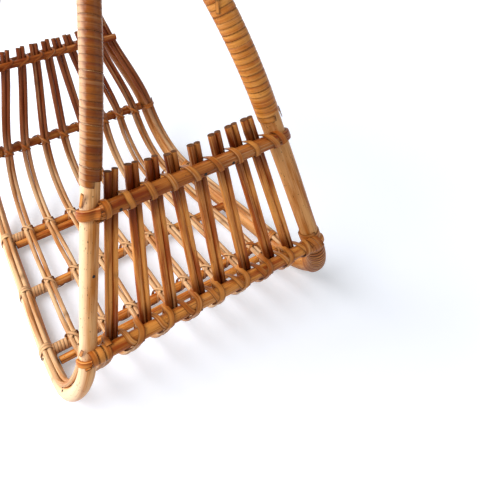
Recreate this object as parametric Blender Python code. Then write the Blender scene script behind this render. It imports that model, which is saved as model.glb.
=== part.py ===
"""Rattan magazine holder: two bent side hoops that meet in a bound handle, cross rails,
a front panel of slats, paired ribs that make the floor and the back, and peel bindings.

Metres, +Z up, +Y from the front panel to the back. The origin is under the middle of the holder.
"""
import math

import bmesh
import bpy
import numpy as np
from mathutils import Vector

# Canes
LEFT_CANE_RADIUS = 0.0090
RIGHT_CANE_RADIUS = 0.0106
RIB_RADIUS = 0.00305
BROAD_SLAT_RADIUS = 0.00355
SLIM_SLAT_RADIUS = 0.0027
FRONT_RAIL_RADIUS = 0.0075
CROSS_RAIL_RADIUS = 0.0060
SECOND_RAIL_RADIUS = 0.0052
INNER_TOP_RAIL_RADIUS = 0.0045
OUTER_TOP_RAIL_RADIUS = 0.0050

# Fits
SEAT_GAP = 0.0003
PAIR_GAP = 0.0004
FLOOR_FLAT = 0.0005
CANE_END_GAP = 0.0006
OVERRUN = 0.0200
WELD_DISTANCE = 0.000001

# Side hoop, seen from the side: the pole crosses the front bottom rail at depth zero
BOTTOM_RAIL_HEIGHT = 0.1133
TOP_RAIL_HEIGHT = 0.2526
POLE_LEAN = math.radians(18.7)
FRONT_SHOULDER_HEIGHT = 0.3635
ARM_LEAN = math.radians(38.7)
APEX_DEPTH = 0.2300
BACK_SHOULDER_HEIGHT = 0.3000
BACK_LEAN = math.radians(14.6)
BACK_FOOT_DEPTH = 0.3570
# How far each bend of the side view reaches, as shares of the straight run beside it
APEX_ARM_SHARE = 0.5280
FRONT_SHOULDER_ARM_SHARE = 0.3338
FOOT_FLOOR_SHARE = 0.2630
BACK_FOOT_BACK_SHARE = 0.2570
BACK_SHOULDER_ARM_SHARE = 0.1933

# How the hoops are drawn, and the shares of a hoop where its places are looked for
BEND_STEP = math.radians(15.5)
LONGEST_STEP = 0.0400
PROFILE_COLUMNS = ("depth", "height")
ARM_SHARES = (0.02, 0.30)
POLE_SHARES = (0.05, 0.42)
FLOOR_SHARES = (0.35, 0.70)
BACK_SHARES = (0.60, 0.85)
SEARCH_SAMPLES = 4001

# Side hoop, seen from the front: half width at heights and depths on the cane
ARM_HALF_WIDTH = 0.0525
ARM_STATION_HEIGHT = 0.4020
TOP_RAIL_HALF_WIDTH = 0.1052
BOTTOM_RAIL_HALF_WIDTH = 0.1480
FOOT_HALF_WIDTH = 0.1775
TOE_HALF_WIDTH = 0.1755
FLOOR_HALF_WIDTH = 0.1660
HEEL_HALF_WIDTH = 0.1545
BACK_MIDDLE_HALF_WIDTH = 0.1325
BACK_TOP_HALF_WIDTH = 0.0865
BACK_ARM_HALF_WIDTH = 0.0400
BACK_ARM_RISE = 0.1500
HANDLE_REACH = 0.0300

# Where the cross rails lie: depth on the floor, height on the back
FOOT_DEPTH = 0.0300
TOE_RAIL_DEPTH = 0.0872
TOE_SECOND_RAIL_DEPTH = 0.0685
FLOOR_RAIL_DEPTH = 0.1822
HEEL_RAIL_DEPTH = 0.2884
HEEL_SECOND_RAIL_DEPTH = 0.2738
BACK_MIDDLE_HEIGHT = 0.0975
BACK_TOP_HEIGHT = 0.2114

# Ribs: places across the holder as shares of its half width, left to right
RIB_TOE_SHARES = (-1.0, -0.800, -0.570, -0.333, -0.085, 0.132, 0.338, 0.553, 0.772, 1.0)
RIB_MIDDLE_SHARES = (-1.0, -0.775, -0.582, -0.352, -0.124, 0.122, 0.384, 0.588, 0.788, 1.0)
RIB_TOP_SHARES = (-1.0, -0.798, -0.530, -0.300, -0.095, 0.097, 0.302, 0.530, 0.765, 1.0)
RIB_RISE_FRONT = 0.0050
RIB_RISE_BACK = 0.0175
RIB_CLOSING_RUN = 0.0600

# Front panel
FRONT_RAIL_OFFSET = 0.0100
SLAT_FOOT_SHARES = (-0.820, -0.547, -0.328, -0.089, 0.101, 0.339, 0.571, 0.768)
SLAT_HEAD_SHARES = (-0.795, -0.575, -0.365, -0.155, 0.092, 0.337, 0.547, 0.745)
SLAT_TOP_RISE = 0.0278
SLAT_TOP_SHARES = (1.0, 0.98, 0.90, 0.81, 0.82, 0.90, 0.96, 0.99)
SLAT_FOOT_DROP = 0.0060
TOP_STRAP_HALF_HEIGHT = 0.0052
BOTTOM_STRAP_HALF_HEIGHT = 0.0040
STRAP_THICKNESS = 0.0034
STRAP_END_ANGLE = math.radians(105.0)
STRAP_SHARES = (0.80, 0.35)
STRAP_STEPS = 5
RAIL_SIDES = 8
SHARP_ANGLE = math.radians(35.0)

# Peel
PEEL_THICKNESS = 0.0010
PEEL_WIDTH = 0.0042
NARROW_PEEL_WIDTH = 0.0026
STRIP_SIDES = 4
WRAP_GAP = 0.0009
LASHING_GAP = 0.0008
ARM_COVER_SHARE = 0.82
HANDLE_COVER_SHARE = 0.74
TOE_COVER_SHARE = 0.56
FRONT_ARM_TURNS = 15
BACK_ARM_TURNS = 17
HANDLE_TURNS = 6
TOE_TURNS = 10
OVER_SHARE = 0.8
RAIL_END_TURNS = 2
RAIL_END_PITCH = 0.0052
POINTS_PER_TURN = 8
HALF_TURN_STEPS = 4
HANDLE_FIRST_STEP = 3
GAP_SAMPLES = 8
TOE_FIRST_CORNER = math.radians(67.5)
TOE_CORNER_STEP = math.radians(45.0)
TOE_CORNERS = 6
TOE_BRIDGE_TILT = math.radians(30.0)
WRAP_START_ABOVE_RAIL = 0.0235
BACK_WRAP_START_ABOVE_RAIL = 0.0280
ARM_WRAP_END_HALF_WIDTH = 0.0135
TOE_WRAP_START_BELOW_RAIL = 0.0105
TOE_WRAP_LENGTH = 0.0620

SIDES = {"left": (-1, LEFT_CANE_RADIUS), "right": (1, RIGHT_CANE_RADIUS)}
HANDLE_HALF_WIDTH = (LEFT_CANE_RADIUS + RIGHT_CANE_RADIUS + SEAT_GAP) / 2
X_AXIS = np.array((1.0, 0.0, 0.0))


def unit(vector):
    return vector / np.linalg.norm(vector)


def rounded_corner(before, corner, after, reach):
    """Points of the arc that rounds one corner, from as far before it as it ends after it."""
    back, onward = unit(before - corner), unit(after - corner)
    half_angle = math.acos(float(np.clip(back @ onward, -1, 1))) / 2
    radius = reach * math.tan(half_angle)
    centre = corner + unit(back + onward) * radius / math.sin(half_angle)
    start = corner + back * reach - centre
    end = corner + onward * reach - centre
    turn = math.atan2(start[0] * end[1] - start[1] * end[0], start @ end)
    pieces = 2 * math.ceil(max(abs(turn) / BEND_STEP, abs(turn) * radius / LONGEST_STEP) / 2)
    points = []
    for index in range(pieces + 1):
        angle = turn * index / pieces
        cosine, sine = math.cos(angle), math.sin(angle)
        points.append(centre + np.array((start[0] * cosine - start[1] * sine,
                                         start[0] * sine + start[1] * cosine)))
    return points


def hoop_profile(cane_radius):
    """Depth and height along one hoop: handle, front arm, pole, foot, floor, back, handle."""
    floor = cane_radius - FLOOR_FLAT
    pole_slope, arm_slope, back_slope = math.tan(POLE_LEAN), math.tan(ARM_LEAN), math.tan(BACK_LEAN)
    foot = np.array(((floor - BOTTOM_RAIL_HEIGHT) * pole_slope, floor))
    front_shoulder = np.array(((FRONT_SHOULDER_HEIGHT - BOTTOM_RAIL_HEIGHT) * pole_slope,
                               FRONT_SHOULDER_HEIGHT))
    apex = np.array((APEX_DEPTH, FRONT_SHOULDER_HEIGHT + (APEX_DEPTH - front_shoulder[0]) / arm_slope))
    back_foot = np.array((BACK_FOOT_DEPTH, floor))
    back_shoulder = np.array((BACK_FOOT_DEPTH + (BACK_SHOULDER_HEIGHT - floor) * back_slope,
                              BACK_SHOULDER_HEIGHT))
    corners = (apex, front_shoulder, foot, back_foot, back_shoulder)
    arm, floor_run, back_run, back_arm = (
        np.linalg.norm(end - start) for start, end in
        ((apex, front_shoulder), (foot, back_foot), (back_foot, back_shoulder),
         (back_shoulder, apex)))
    reaches = (arm * APEX_ARM_SHARE, arm * FRONT_SHOULDER_ARM_SHARE, floor_run * FOOT_FLOOR_SHARE,
               back_run * BACK_FOOT_BACK_SHARE, back_arm * BACK_SHOULDER_ARM_SHARE)
    arcs = []
    for index, corner in enumerate(corners):
        following = corners[(index + 1) % len(corners)]
        arcs.append(rounded_corner(corners[index - 1], corner, following, reaches[index]))
    middle = len(arcs[0]) // 2
    runs = [arcs[0][middle:]] + arcs[1:] + [arcs[0][:middle + 1]]
    points = list(runs[0])
    for run in runs[1:]:
        start, end = points[-1], run[0]
        pieces = math.ceil(np.linalg.norm(end - start) / LONGEST_STEP)
        points += [start + (end - start) * step / pieces for step in range(1, pieces)]
        points += run
    return np.array(points)


class Hoop:
    """The centre line of one side hoop, with the places that the other pieces are set from."""

    def __init__(self, side, cane_radius):
        self.side = side
        self.radius = cane_radius
        self.profile = hoop_profile(cane_radius)
        steps = np.linalg.norm(np.diff(self.profile, axis=0), axis=1)
        self.lengths = np.concatenate(((0.0,), np.cumsum(steps)))
        self.total = self.lengths[-1]
        self.set_half_widths()
        self.corners = np.array([(side * self.half_width(place), *corner)
                                 for place, corner in zip(self.lengths, self.profile)])

    def depth_height(self, place):
        place = place % self.total
        return np.array([np.interp(place, self.lengths, self.profile[:, axis]) for axis in (0, 1)])

    def place_at(self, shares, value, column):
        """Length along the hoop, between two shares of it, where depth or height has a value."""
        low, high = shares
        places = np.linspace(self.total * low, self.total * high, SEARCH_SAMPLES)
        values = np.interp(places, self.lengths, self.profile[:, PROFILE_COLUMNS.index(column)])
        return float(places[np.argmin(np.abs(values - value))])

    def set_half_widths(self):
        self.top_rail = self.place_at(POLE_SHARES, TOP_RAIL_HEIGHT, "height")
        self.bottom_rail = self.place_at(POLE_SHARES, BOTTOM_RAIL_HEIGHT, "height")
        self.toe = self.place_at(FLOOR_SHARES, TOE_RAIL_DEPTH, "depth")
        self.toe_second = self.place_at(FLOOR_SHARES, TOE_SECOND_RAIL_DEPTH, "depth")
        self.floor = self.place_at(FLOOR_SHARES, FLOOR_RAIL_DEPTH, "depth")
        self.heel = self.place_at(FLOOR_SHARES, HEEL_RAIL_DEPTH, "depth")
        self.heel_second = self.place_at(FLOOR_SHARES, HEEL_SECOND_RAIL_DEPTH, "depth")
        self.back_middle = self.place_at(BACK_SHARES, BACK_MIDDLE_HEIGHT, "height")
        self.back_top = self.place_at(BACK_SHARES, BACK_TOP_HEIGHT, "height")
        foot = self.place_at(FLOOR_SHARES, FOOT_DEPTH, "depth")
        arm = self.place_at(ARM_SHARES, ARM_STATION_HEIGHT, "height")
        stations = (
            (-HANDLE_REACH, HANDLE_HALF_WIDTH),
            (0.0, HANDLE_HALF_WIDTH),
            (HANDLE_REACH, HANDLE_HALF_WIDTH),
            (arm, ARM_HALF_WIDTH),
            (self.top_rail, TOP_RAIL_HALF_WIDTH),
            (self.bottom_rail, BOTTOM_RAIL_HALF_WIDTH),
            (foot, FOOT_HALF_WIDTH),
            (self.toe, TOE_HALF_WIDTH),
            (self.floor, FLOOR_HALF_WIDTH),
            (self.heel, HEEL_HALF_WIDTH),
            (self.back_middle, BACK_MIDDLE_HALF_WIDTH),
            (self.back_top, BACK_TOP_HALF_WIDTH),
            (self.back_top + BACK_ARM_RISE, BACK_ARM_HALF_WIDTH),
            (self.total - HANDLE_REACH, HANDLE_HALF_WIDTH),
            (self.total, HANDLE_HALF_WIDTH),
            (self.total + HANDLE_REACH, HANDLE_HALF_WIDTH),
        )
        self.station_places = np.array([place for place, _ in stations])
        self.station_widths = np.array([width for _, width in stations])
        run = np.diff(self.station_places)
        rise = np.diff(self.station_widths)
        chord = rise / run
        slopes = [0.0]
        for index in range(1, len(stations) - 1):
            before, after = chord[index - 1], chord[index]
            level = before * after <= 0
            slopes.append(0.0 if level else 2 * before * after / (before + after))
        self.station_slopes = np.array(slopes + [0.0])

    def half_width(self, place):
        """A smooth curve through the stations that never swings past them."""
        place = place % self.total
        index = int(np.clip(np.searchsorted(self.station_places, place) - 1, 0,
                            len(self.station_places) - 2))
        run = self.station_places[index + 1] - self.station_places[index]
        share = (place - self.station_places[index]) / run
        low, high = self.station_widths[index], self.station_widths[index + 1]
        low_slope, high_slope = self.station_slopes[index] * run, self.station_slopes[index + 1] * run
        return (low * (1 + 2 * share) * (1 - share) ** 2 + high * share ** 2 * (3 - 2 * share)
                + low_slope * share * (1 - share) ** 2 - high_slope * share ** 2 * (1 - share))

    def point(self, place):
        """A point on the cane's centre line, which runs straight from corner to corner."""
        place = place % self.total
        return np.array([np.interp(place, self.lengths, self.corners[:, axis]) for axis in range(3)])

    def places_between(self, start, end):
        inside = [place for place in self.lengths if start + SEAT_GAP < place < end - SEAT_GAP]
        return [start] + inside + [end]

    def inward(self, place):
        """Unit normal towards the inside of the hoop, lengthened at a bend to keep an even seat."""
        before = self.depth_height(place) - self.depth_height(place - SEAT_GAP)
        after = self.depth_height(place + SEAT_GAP) - self.depth_height(place)
        along = unit(before) + unit(after)
        stretch = 2 / np.linalg.norm(along)
        depth, height = unit(along)
        return np.array((0.0, -height, depth)) * stretch

    def axis(self, place):
        return unit(self.point(place + self.radius) - self.point(place - self.radius))

    def offset_point(self, place, inward):
        return self.point(place) + self.inward(place) * inward


LEFT_HOOP = Hoop(*SIDES["left"])
RIGHT_HOOP = Hoop(*SIDES["right"])
HOOPS = {"left": LEFT_HOOP, "right": RIGHT_HOOP}


def matching_place(place, source=LEFT_HOOP, target=RIGHT_HOOP):
    """The place on one hoop that matches a place on the other."""
    names = ("top_rail", "bottom_rail", "toe_second", "toe", "floor", "heel_second", "heel",
             "back_middle", "back_top")
    here = [0.0] + [getattr(source, name) for name in names] + [source.total]
    there = [0.0] + [getattr(target, name) for name in names] + [target.total]
    return float(np.interp(place, here, there))


def rib_bed_point(place, share, lift=0.0):
    """A point on the bed that the ribs' centres follow, at a share of the half width."""
    right_place = matching_place(place)
    seat = RIB_RADIUS + SEAT_GAP + lift
    left = LEFT_HOOP.offset_point(place, LEFT_HOOP.radius + seat)
    right = RIGHT_HOOP.offset_point(right_place, RIGHT_HOOP.radius + seat)
    return left + (right - left) * (share + 1) / 2


def material(name, colour, roughness):
    made = bpy.data.materials.new(name)
    made.use_nodes = True
    shader = made.node_tree.nodes["Principled BSDF"]
    shader.inputs["Base Color"].default_value = (*colour, 1.0)
    shader.inputs["Roughness"].default_value = roughness
    shader.inputs["Metallic"].default_value = 0.0
    made.diffuse_color = (*colour, 1.0)
    return made


for old in list(bpy.data.objects):
    bpy.data.objects.remove(old, do_unlink=True)

HOLDER = bpy.data.collections.new("magazine_holder")
CUTTERS = bpy.data.collections.new("cutters")
for group in (HOLDER, CUTTERS):
    bpy.context.scene.collection.children.link(group)

POLE_CANE = material("pole_cane", (0.62, 0.33, 0.10), 0.32)
RAIL_CANE = material("rail_cane", (0.42, 0.17, 0.05), 0.36)
SLAT_CANE = material("slat_cane", (0.36, 0.13, 0.04), 0.38)
RIB_CANE = material("rib_cane", (0.55, 0.27, 0.09), 0.34)
PEEL = material("peel", (0.50, 0.22, 0.07), 0.30)


def add_object(name, data, finish):
    piece = bpy.data.objects.new(name, data)
    piece.data.materials.append(finish)
    HOLDER.objects.link(piece)
    return piece


def tube(name, points, radius, finish, bevel_resolution=2):
    """A cane: a poly curve with a round bevel and filled ends."""
    curve = bpy.data.curves.new(name, "CURVE")
    curve.dimensions = "3D"
    curve.bevel_depth = radius
    curve.bevel_resolution = bevel_resolution
    curve.use_fill_caps = True
    spline = curve.splines.new("POLY")
    spline.points.add(len(points) - 1)
    for place, point in zip(spline.points, points):
        place.co = (*point, 1.0)
    spline.use_smooth = True
    return add_object(name, curve, finish)


def as_mesh(piece):
    """Turn a curve object into a closed mesh object of the same name."""
    name = piece.name
    bpy.context.view_layer.update()
    evaluated = piece.evaluated_get(bpy.context.evaluated_depsgraph_get())
    mesh = bpy.data.meshes.new_from_object(evaluated)
    place = piece.matrix_world.copy()
    bpy.data.objects.remove(piece, do_unlink=True)
    shape = bmesh.new()
    shape.from_mesh(mesh)
    bmesh.ops.remove_doubles(shape, verts=shape.verts, dist=WELD_DISTANCE)
    shape.to_mesh(mesh)
    shape.free()
    solid = bpy.data.objects.new(name, mesh)
    solid.matrix_world = place
    HOLDER.objects.link(solid)
    return solid


def loft(shape, rings):
    """Skin a row of rings, each counter-clockwise about the way it runs, into one closed body.

    A side is split along the diagonal that stands out more. The two broad faces of a strip are
    split alike, along the shorter diagonal of the first, so a twist keeps its thickness.
    """
    rows = [[shape.verts.new(Vector(point)) for point in ring] for ring in rings]
    count = len(rows[0])
    for lower, upper in zip(rows, rows[1:]):
        centre = sum((corner.co for corner in lower + upper), Vector()) / (2 * count)
        broad_face_rises = ((lower[0].co - upper[1].co).length
                            < (lower[1].co - upper[0].co).length)
        for start in range(count):
            following = (start + 1) % count
            rises = (((lower[start].co + upper[following].co) / 2 - centre).length
                     > ((lower[following].co + upper[start].co) / 2 - centre).length)
            if count == STRIP_SIDES and start % 2 == 0:
                rises = broad_face_rises == (start == 0)
            if rises:
                shape.faces.new((lower[start], lower[following], upper[following]))
                shape.faces.new((lower[start], upper[following], upper[start]))
            else:
                shape.faces.new((lower[start], lower[following], upper[start]))
                shape.faces.new((lower[following], upper[following], upper[start]))
    shape.faces.new(rows[0][::-1])
    shape.faces.new(rows[-1])


def strip_rings(points, normals, width, thickness):
    """Rectangles along a path for a flat peel strip whose face follows the normals."""
    rings = []
    for index, point in enumerate(points):
        before = points[max(index - 1, 0)]
        after = points[min(index + 1, len(points) - 1)]
        along = unit(after - before)
        normal = unit(normals[index] - along * (normals[index] @ along))
        across = np.cross(normal, along)
        half_width, half_thickness = across * width / 2, normal * thickness / 2
        rings.append([point - half_width - half_thickness, point + half_width - half_thickness,
                      point + half_width + half_thickness, point - half_width + half_thickness])
    return rings


def mesh_object(name, rings, finish):
    shape = bmesh.new()
    loft(shape, rings)
    mesh = bpy.data.meshes.new(name)
    shape.to_mesh(mesh)
    shape.free()
    mesh.shade_smooth()
    mesh.set_sharp_from_angle(angle=SHARP_ANGLE)
    return add_object(name, mesh, finish)


def turn_radius(radius, gap, half_step):
    """Centre radius of a strip's corners, wide enough for its flats to clear the cane."""
    return (radius + gap) / math.cos(half_step) + PEEL_THICKNESS / 2


def winding_route(axis_point, axis_direction, start, end, radius, turns):
    """Points and normals of one strip wound round a cane."""
    count = round(turns * POINTS_PER_TURN)
    around = turn_radius(radius, WRAP_GAP, math.pi / POINTS_PER_TURN)
    points, normals = [], []
    for index in range(count + 1):
        place = start + (end - start) * index / count
        angle = 2 * math.pi * index / POINTS_PER_TURN
        along = axis_direction(place)
        first = unit(np.cross(along, X_AXIS) if abs(along[0]) < abs(along[1]) + abs(along[2])
                     else np.cross(along, PANEL_FORWARD))
        second = np.cross(along, first)
        normal = first * math.cos(angle) + second * math.sin(angle)
        points.append(axis_point(place) + normal * around)
        normals.append(normal)
    return points, normals


def print_least_gap(name, rings, points_per_turn):
    """Print how close neighbouring turns of a winding come, edge to edge, on points."""
    corners = np.array(rings)
    shares = np.arange(GAP_SAMPLES)[:, None, None] / GAP_SAMPLES
    least = math.inf
    for index in range(len(corners) - points_per_turn // 2 - 1):
        near = corners[index]
        later = corners[index + points_per_turn // 2: index + 2 * points_per_turn]
        runs = later[:-1, None] + np.diff(later, axis=0)[:, None] * shares
        steps = runs.reshape(-1, 1, 3) - near
        least = min(least, np.linalg.norm(steps, axis=2).min())
    print(f"{name}: least gap to itself {1000 * least:.2f} mm")


# Side hoops, cut flat where they stand on the floor
def build_hoops():
    floor_block = bpy.data.meshes.new("floor_block")
    shape = bmesh.new()
    bmesh.ops.create_cube(shape, size=OVERRUN)
    size = Vector((2 * (FOOT_HALF_WIDTH + OVERRUN), BACK_FOOT_DEPTH + OVERRUN, OVERRUN))
    bmesh.ops.scale(shape, vec=size / OVERRUN, verts=shape.verts)
    middle = Vector((0, BACK_FOOT_DEPTH / 2, -OVERRUN / 2))
    bmesh.ops.translate(shape, vec=middle, verts=shape.verts)
    shape.to_mesh(floor_block)
    shape.free()
    cutter = bpy.data.objects.new("floor_block", floor_block)
    cutter.hide_render = True
    cutter.display_type = "WIRE"
    CUTTERS.objects.link(cutter)
    for name, hoop in HOOPS.items():
        places = list(hoop.lengths)
        points = [hoop.point(place) for place in places]
        points[0] = hoop.point(CANE_END_GAP / 2)
        points[-1] = hoop.point(hoop.total - CANE_END_GAP / 2)
        cane = as_mesh(tube(f"{name}_frame_cane", points, hoop.radius, POLE_CANE))
        flat = cane.modifiers.new("floor_flat", "BOOLEAN")
        flat.operation = "DIFFERENCE"
        flat.solver = "EXACT"
        flat.object = cutter


# Ribs: pairs of canes from behind the front bottom rail, along the floor and up the back
def rib_share(number, place):
    stations = (LEFT_HOOP.bottom_rail, LEFT_HOOP.floor, LEFT_HOOP.back_middle, LEFT_HOOP.back_top)
    values = (RIB_TOE_SHARES[number], RIB_TOE_SHARES[number], RIB_MIDDLE_SHARES[number],
              RIB_TOP_SHARES[number])
    return float(np.interp(place, stations, values))


def rib_centre(number, place):
    """Middle of a rib pair: it lies on the bed, and closes up to the slats at its front end."""
    bed = rib_bed_point(place, rib_share(number, place))
    if number in (0, len(RIB_TOE_SHARES) - 1):
        return bed
    left = (LEFT_HOOP.radius + RIGHT_HOOP.radius) / 2 + RIB_RADIUS + SEAT_GAP
    slat_back = (FRONT_RAIL_RADIUS - FRONT_RAIL_OFFSET) + 2 * BROAD_SLAT_RADIUS + 2 * SEAT_GAP
    closing = left - slat_back - RIB_RADIUS
    share = np.clip((LEFT_HOOP.bottom_rail + RIB_CLOSING_RUN - place) / RIB_CLOSING_RUN, 0, 1)
    return bed - LEFT_HOOP.inward(place) * closing * share


def rib_start():
    return LEFT_HOOP.bottom_rail - RIB_RISE_FRONT


def rib_end():
    return LEFT_HOOP.back_top + RIB_RISE_BACK


def rib_places(number):
    """Where a rib bends: at the corners of the left hoop, or of the right one for the last pair."""
    if number < len(RIB_TOE_SHARES) - 1:
        return LEFT_HOOP.places_between(rib_start(), rib_end())
    start, end = matching_place(rib_start()), matching_place(rib_end())
    return [matching_place(place, RIGHT_HOOP, LEFT_HOOP)
            for place in RIGHT_HOOP.places_between(start, end)]


def rib_slope(number, place):
    """How far a rib moves across the holder for each unit along the bed."""
    run = rib_centre(number, place + RIB_RADIUS) - rib_centre(number, place - RIB_RADIUS)
    return run[0] / math.hypot(run[1], run[2])


def rib_spread(number, place):
    """Half the distance across between the two canes of a pair."""
    return (RIB_RADIUS + PAIR_GAP / 2) * math.hypot(1, rib_slope(number, place))


def build_ribs():
    for number in range(len(RIB_TOE_SHARES)):
        for name, hand in (("left", -1), ("right", 1)):
            points = [rib_centre(number, place) + X_AXIS * rib_spread(number, place) * hand
                      for place in rib_places(number)]
            tube(f"rib_{number + 1:02d}_{name}", points, RIB_RADIUS, RIB_CANE, 1)


# Cross rails, butted between the hoops under the ribs
def rail_end(hoop, place, rail_radius):
    """Where a butted rail ends: clear of the hoop cane, which may cross it at a slant."""
    reach = hoop.radius
    slope = abs(hoop.half_width(place + reach) - hoop.half_width(place - reach)) / (2 * reach)
    return hoop.radius * math.hypot(1, slope) + rail_radius * slope + SEAT_GAP


def cross_rail(name, place_name, rail_radius):
    left_place = getattr(LEFT_HOOP, place_name)
    lift = -(RIB_RADIUS + rail_radius + SEAT_GAP)
    left = rib_bed_point(left_place, -1.0, lift)
    right = rib_bed_point(left_place, 1.0, lift)
    left = left + X_AXIS * rail_end(LEFT_HOOP, left_place, rail_radius)
    right = right - X_AXIS * rail_end(RIGHT_HOOP, matching_place(left_place), rail_radius)
    return tube(name, [left, (left + right) / 2, right], rail_radius, RAIL_CANE)


def build_cross_rails():
    cross_rail("toe_rail", "toe", CROSS_RAIL_RADIUS)
    cross_rail("toe_second_rail", "toe_second", SECOND_RAIL_RADIUS)
    cross_rail("floor_rail", "floor", CROSS_RAIL_RADIUS)
    cross_rail("heel_rail", "heel", CROSS_RAIL_RADIUS)
    cross_rail("heel_second_rail", "heel_second", SECOND_RAIL_RADIUS)
    cross_rail("back_middle_rail", "back_middle", CROSS_RAIL_RADIUS)
    cross_rail("back_top_outer_rail", "back_top", OUTER_TOP_RAIL_RADIUS)
    lift = RIB_RADIUS + INNER_TOP_RAIL_RADIUS + SEAT_GAP
    ends = [rib_bed_point(LEFT_HOOP.back_top, side, lift) + X_AXIS * side * 2 * RIB_RADIUS
            for side in (-1.0, 1.0)]
    tube("back_top_inner_rail", [ends[0], (ends[0] + ends[1]) / 2, ends[1]],
         INNER_TOP_RAIL_RADIUS, RAIL_CANE)


# Front panel
POLE_UP = np.array((0.0, math.sin(POLE_LEAN), math.cos(POLE_LEAN)))
PANEL_FORWARD = np.array((0.0, -math.cos(POLE_LEAN), math.sin(POLE_LEAN)))
BOTTOM_RAIL_MIDDLE = np.array((0.0, 0.0, BOTTOM_RAIL_HEIGHT))
PANEL_HEIGHT = (TOP_RAIL_HEIGHT - BOTTOM_RAIL_HEIGHT) / math.cos(POLE_LEAN)


def panel_point(x, rise, forward):
    """A point on the leaning front panel: across, up along the poles, and out to the front."""
    return BOTTOM_RAIL_MIDDLE + X_AXIS * x + POLE_UP * rise + PANEL_FORWARD * forward


def slat_pair_x(number, rise):
    foot = SLAT_FOOT_SHARES[number] * BOTTOM_RAIL_HALF_WIDTH
    head = SLAT_HEAD_SHARES[number] * TOP_RAIL_HALF_WIDTH
    return foot + (head - foot) * rise / PANEL_HEIGHT


def slat_pair_half_width():
    return BROAD_SLAT_RADIUS + SLIM_SLAT_RADIUS + PAIR_GAP / 2


def build_slats():
    rail_back = FRONT_RAIL_OFFSET - FRONT_RAIL_RADIUS - SEAT_GAP
    for number in range(len(SLAT_FOOT_SHARES)):
        top = PANEL_HEIGHT + SLAT_TOP_RISE * SLAT_TOP_SHARES[number]
        half = slat_pair_half_width()
        kinds = (("broad", BROAD_SLAT_RADIUS, BROAD_SLAT_RADIUS - half),
                 ("slim", SLIM_SLAT_RADIUS, half - SLIM_SLAT_RADIUS))
        for name, radius, shift in kinds:
            points = [panel_point(slat_pair_x(number, rise) + shift, rise, rail_back - radius)
                      for rise in (-SLAT_FOOT_DROP, top / 2, top)]
            tube(f"slat_{number + 1}_{name}", points, radius, SLAT_CANE)


def front_rail(name, rise, half_width, strap_half_height):
    """A round rail whose ends are pared to straps and bent round the poles."""
    sections = []
    for side, hoop in ((-1, LEFT_HOOP), (1, RIGHT_HOOP)):
        place = hoop.top_rail if rise > 0 else hoop.bottom_rail
        pole_axis = hoop.axis(place)
        if pole_axis[2] < 0:
            pole_axis = -pole_axis
        pole = panel_point(side * half_width, rise, 0.0)
        widening = 1 / math.sqrt(1 - pole_axis[0] ** 2)
        reach = hoop.radius + SEAT_GAP
        strap_half = STRAP_THICKNESS / 2
        # Rail, then its pared end: inward and forward of the pole, half thickness, half height
        rail_front = FRONT_RAIL_OFFSET + FRONT_RAIL_RADIUS
        entry = reach * widening + FRONT_RAIL_RADIUS / 2
        pared = [(entry, FRONT_RAIL_OFFSET, FRONT_RAIL_RADIUS, FRONT_RAIL_RADIUS)]
        for share in STRAP_SHARES:
            inward = reach * widening * share
            back = reach * math.sqrt(1 - share ** 2) + SEAT_GAP
            front = rail_front + (reach + STRAP_THICKNESS - rail_front) * (1 - share) ** 2
            height = strap_half_height + (FRONT_RAIL_RADIUS - strap_half_height) * share
            pared.append((inward, (front + back) / 2, (front - back) / 2, height))
        end = []
        for inward, forward, half_thickness, half_height in pared:
            centre = pole - X_AXIS * side * inward + PANEL_FORWARD * forward
            end.append((centre, PANEL_FORWARD * half_thickness, pole_axis * half_height))
        for step in range(STRAP_STEPS + 1):
            angle = STRAP_END_ANGLE * step / STRAP_STEPS
            radius = reach / math.cos(STRAP_END_ANGLE / STRAP_STEPS / 2) + strap_half
            outward = X_AXIS * side * math.sin(angle) * widening + PANEL_FORWARD * math.cos(angle)
            normal = unit(X_AXIS * side * math.sin(angle) / widening
                          + PANEL_FORWARD * math.cos(angle))
            end.append((pole + outward * radius, normal * strap_half,
                        pole_axis * strap_half_height))
        sections.append(end)
    ordered = sections[0][::-1] + sections[1]
    rings = []
    for centre, thick, high in ordered:
        rings.append([centre + thick * math.cos(angle) - high * math.sin(angle)
                      for angle in (2 * math.pi * corner / RAIL_SIDES
                                    for corner in range(RAIL_SIDES))])
    mesh_object(name, rings, RAIL_CANE)


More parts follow.
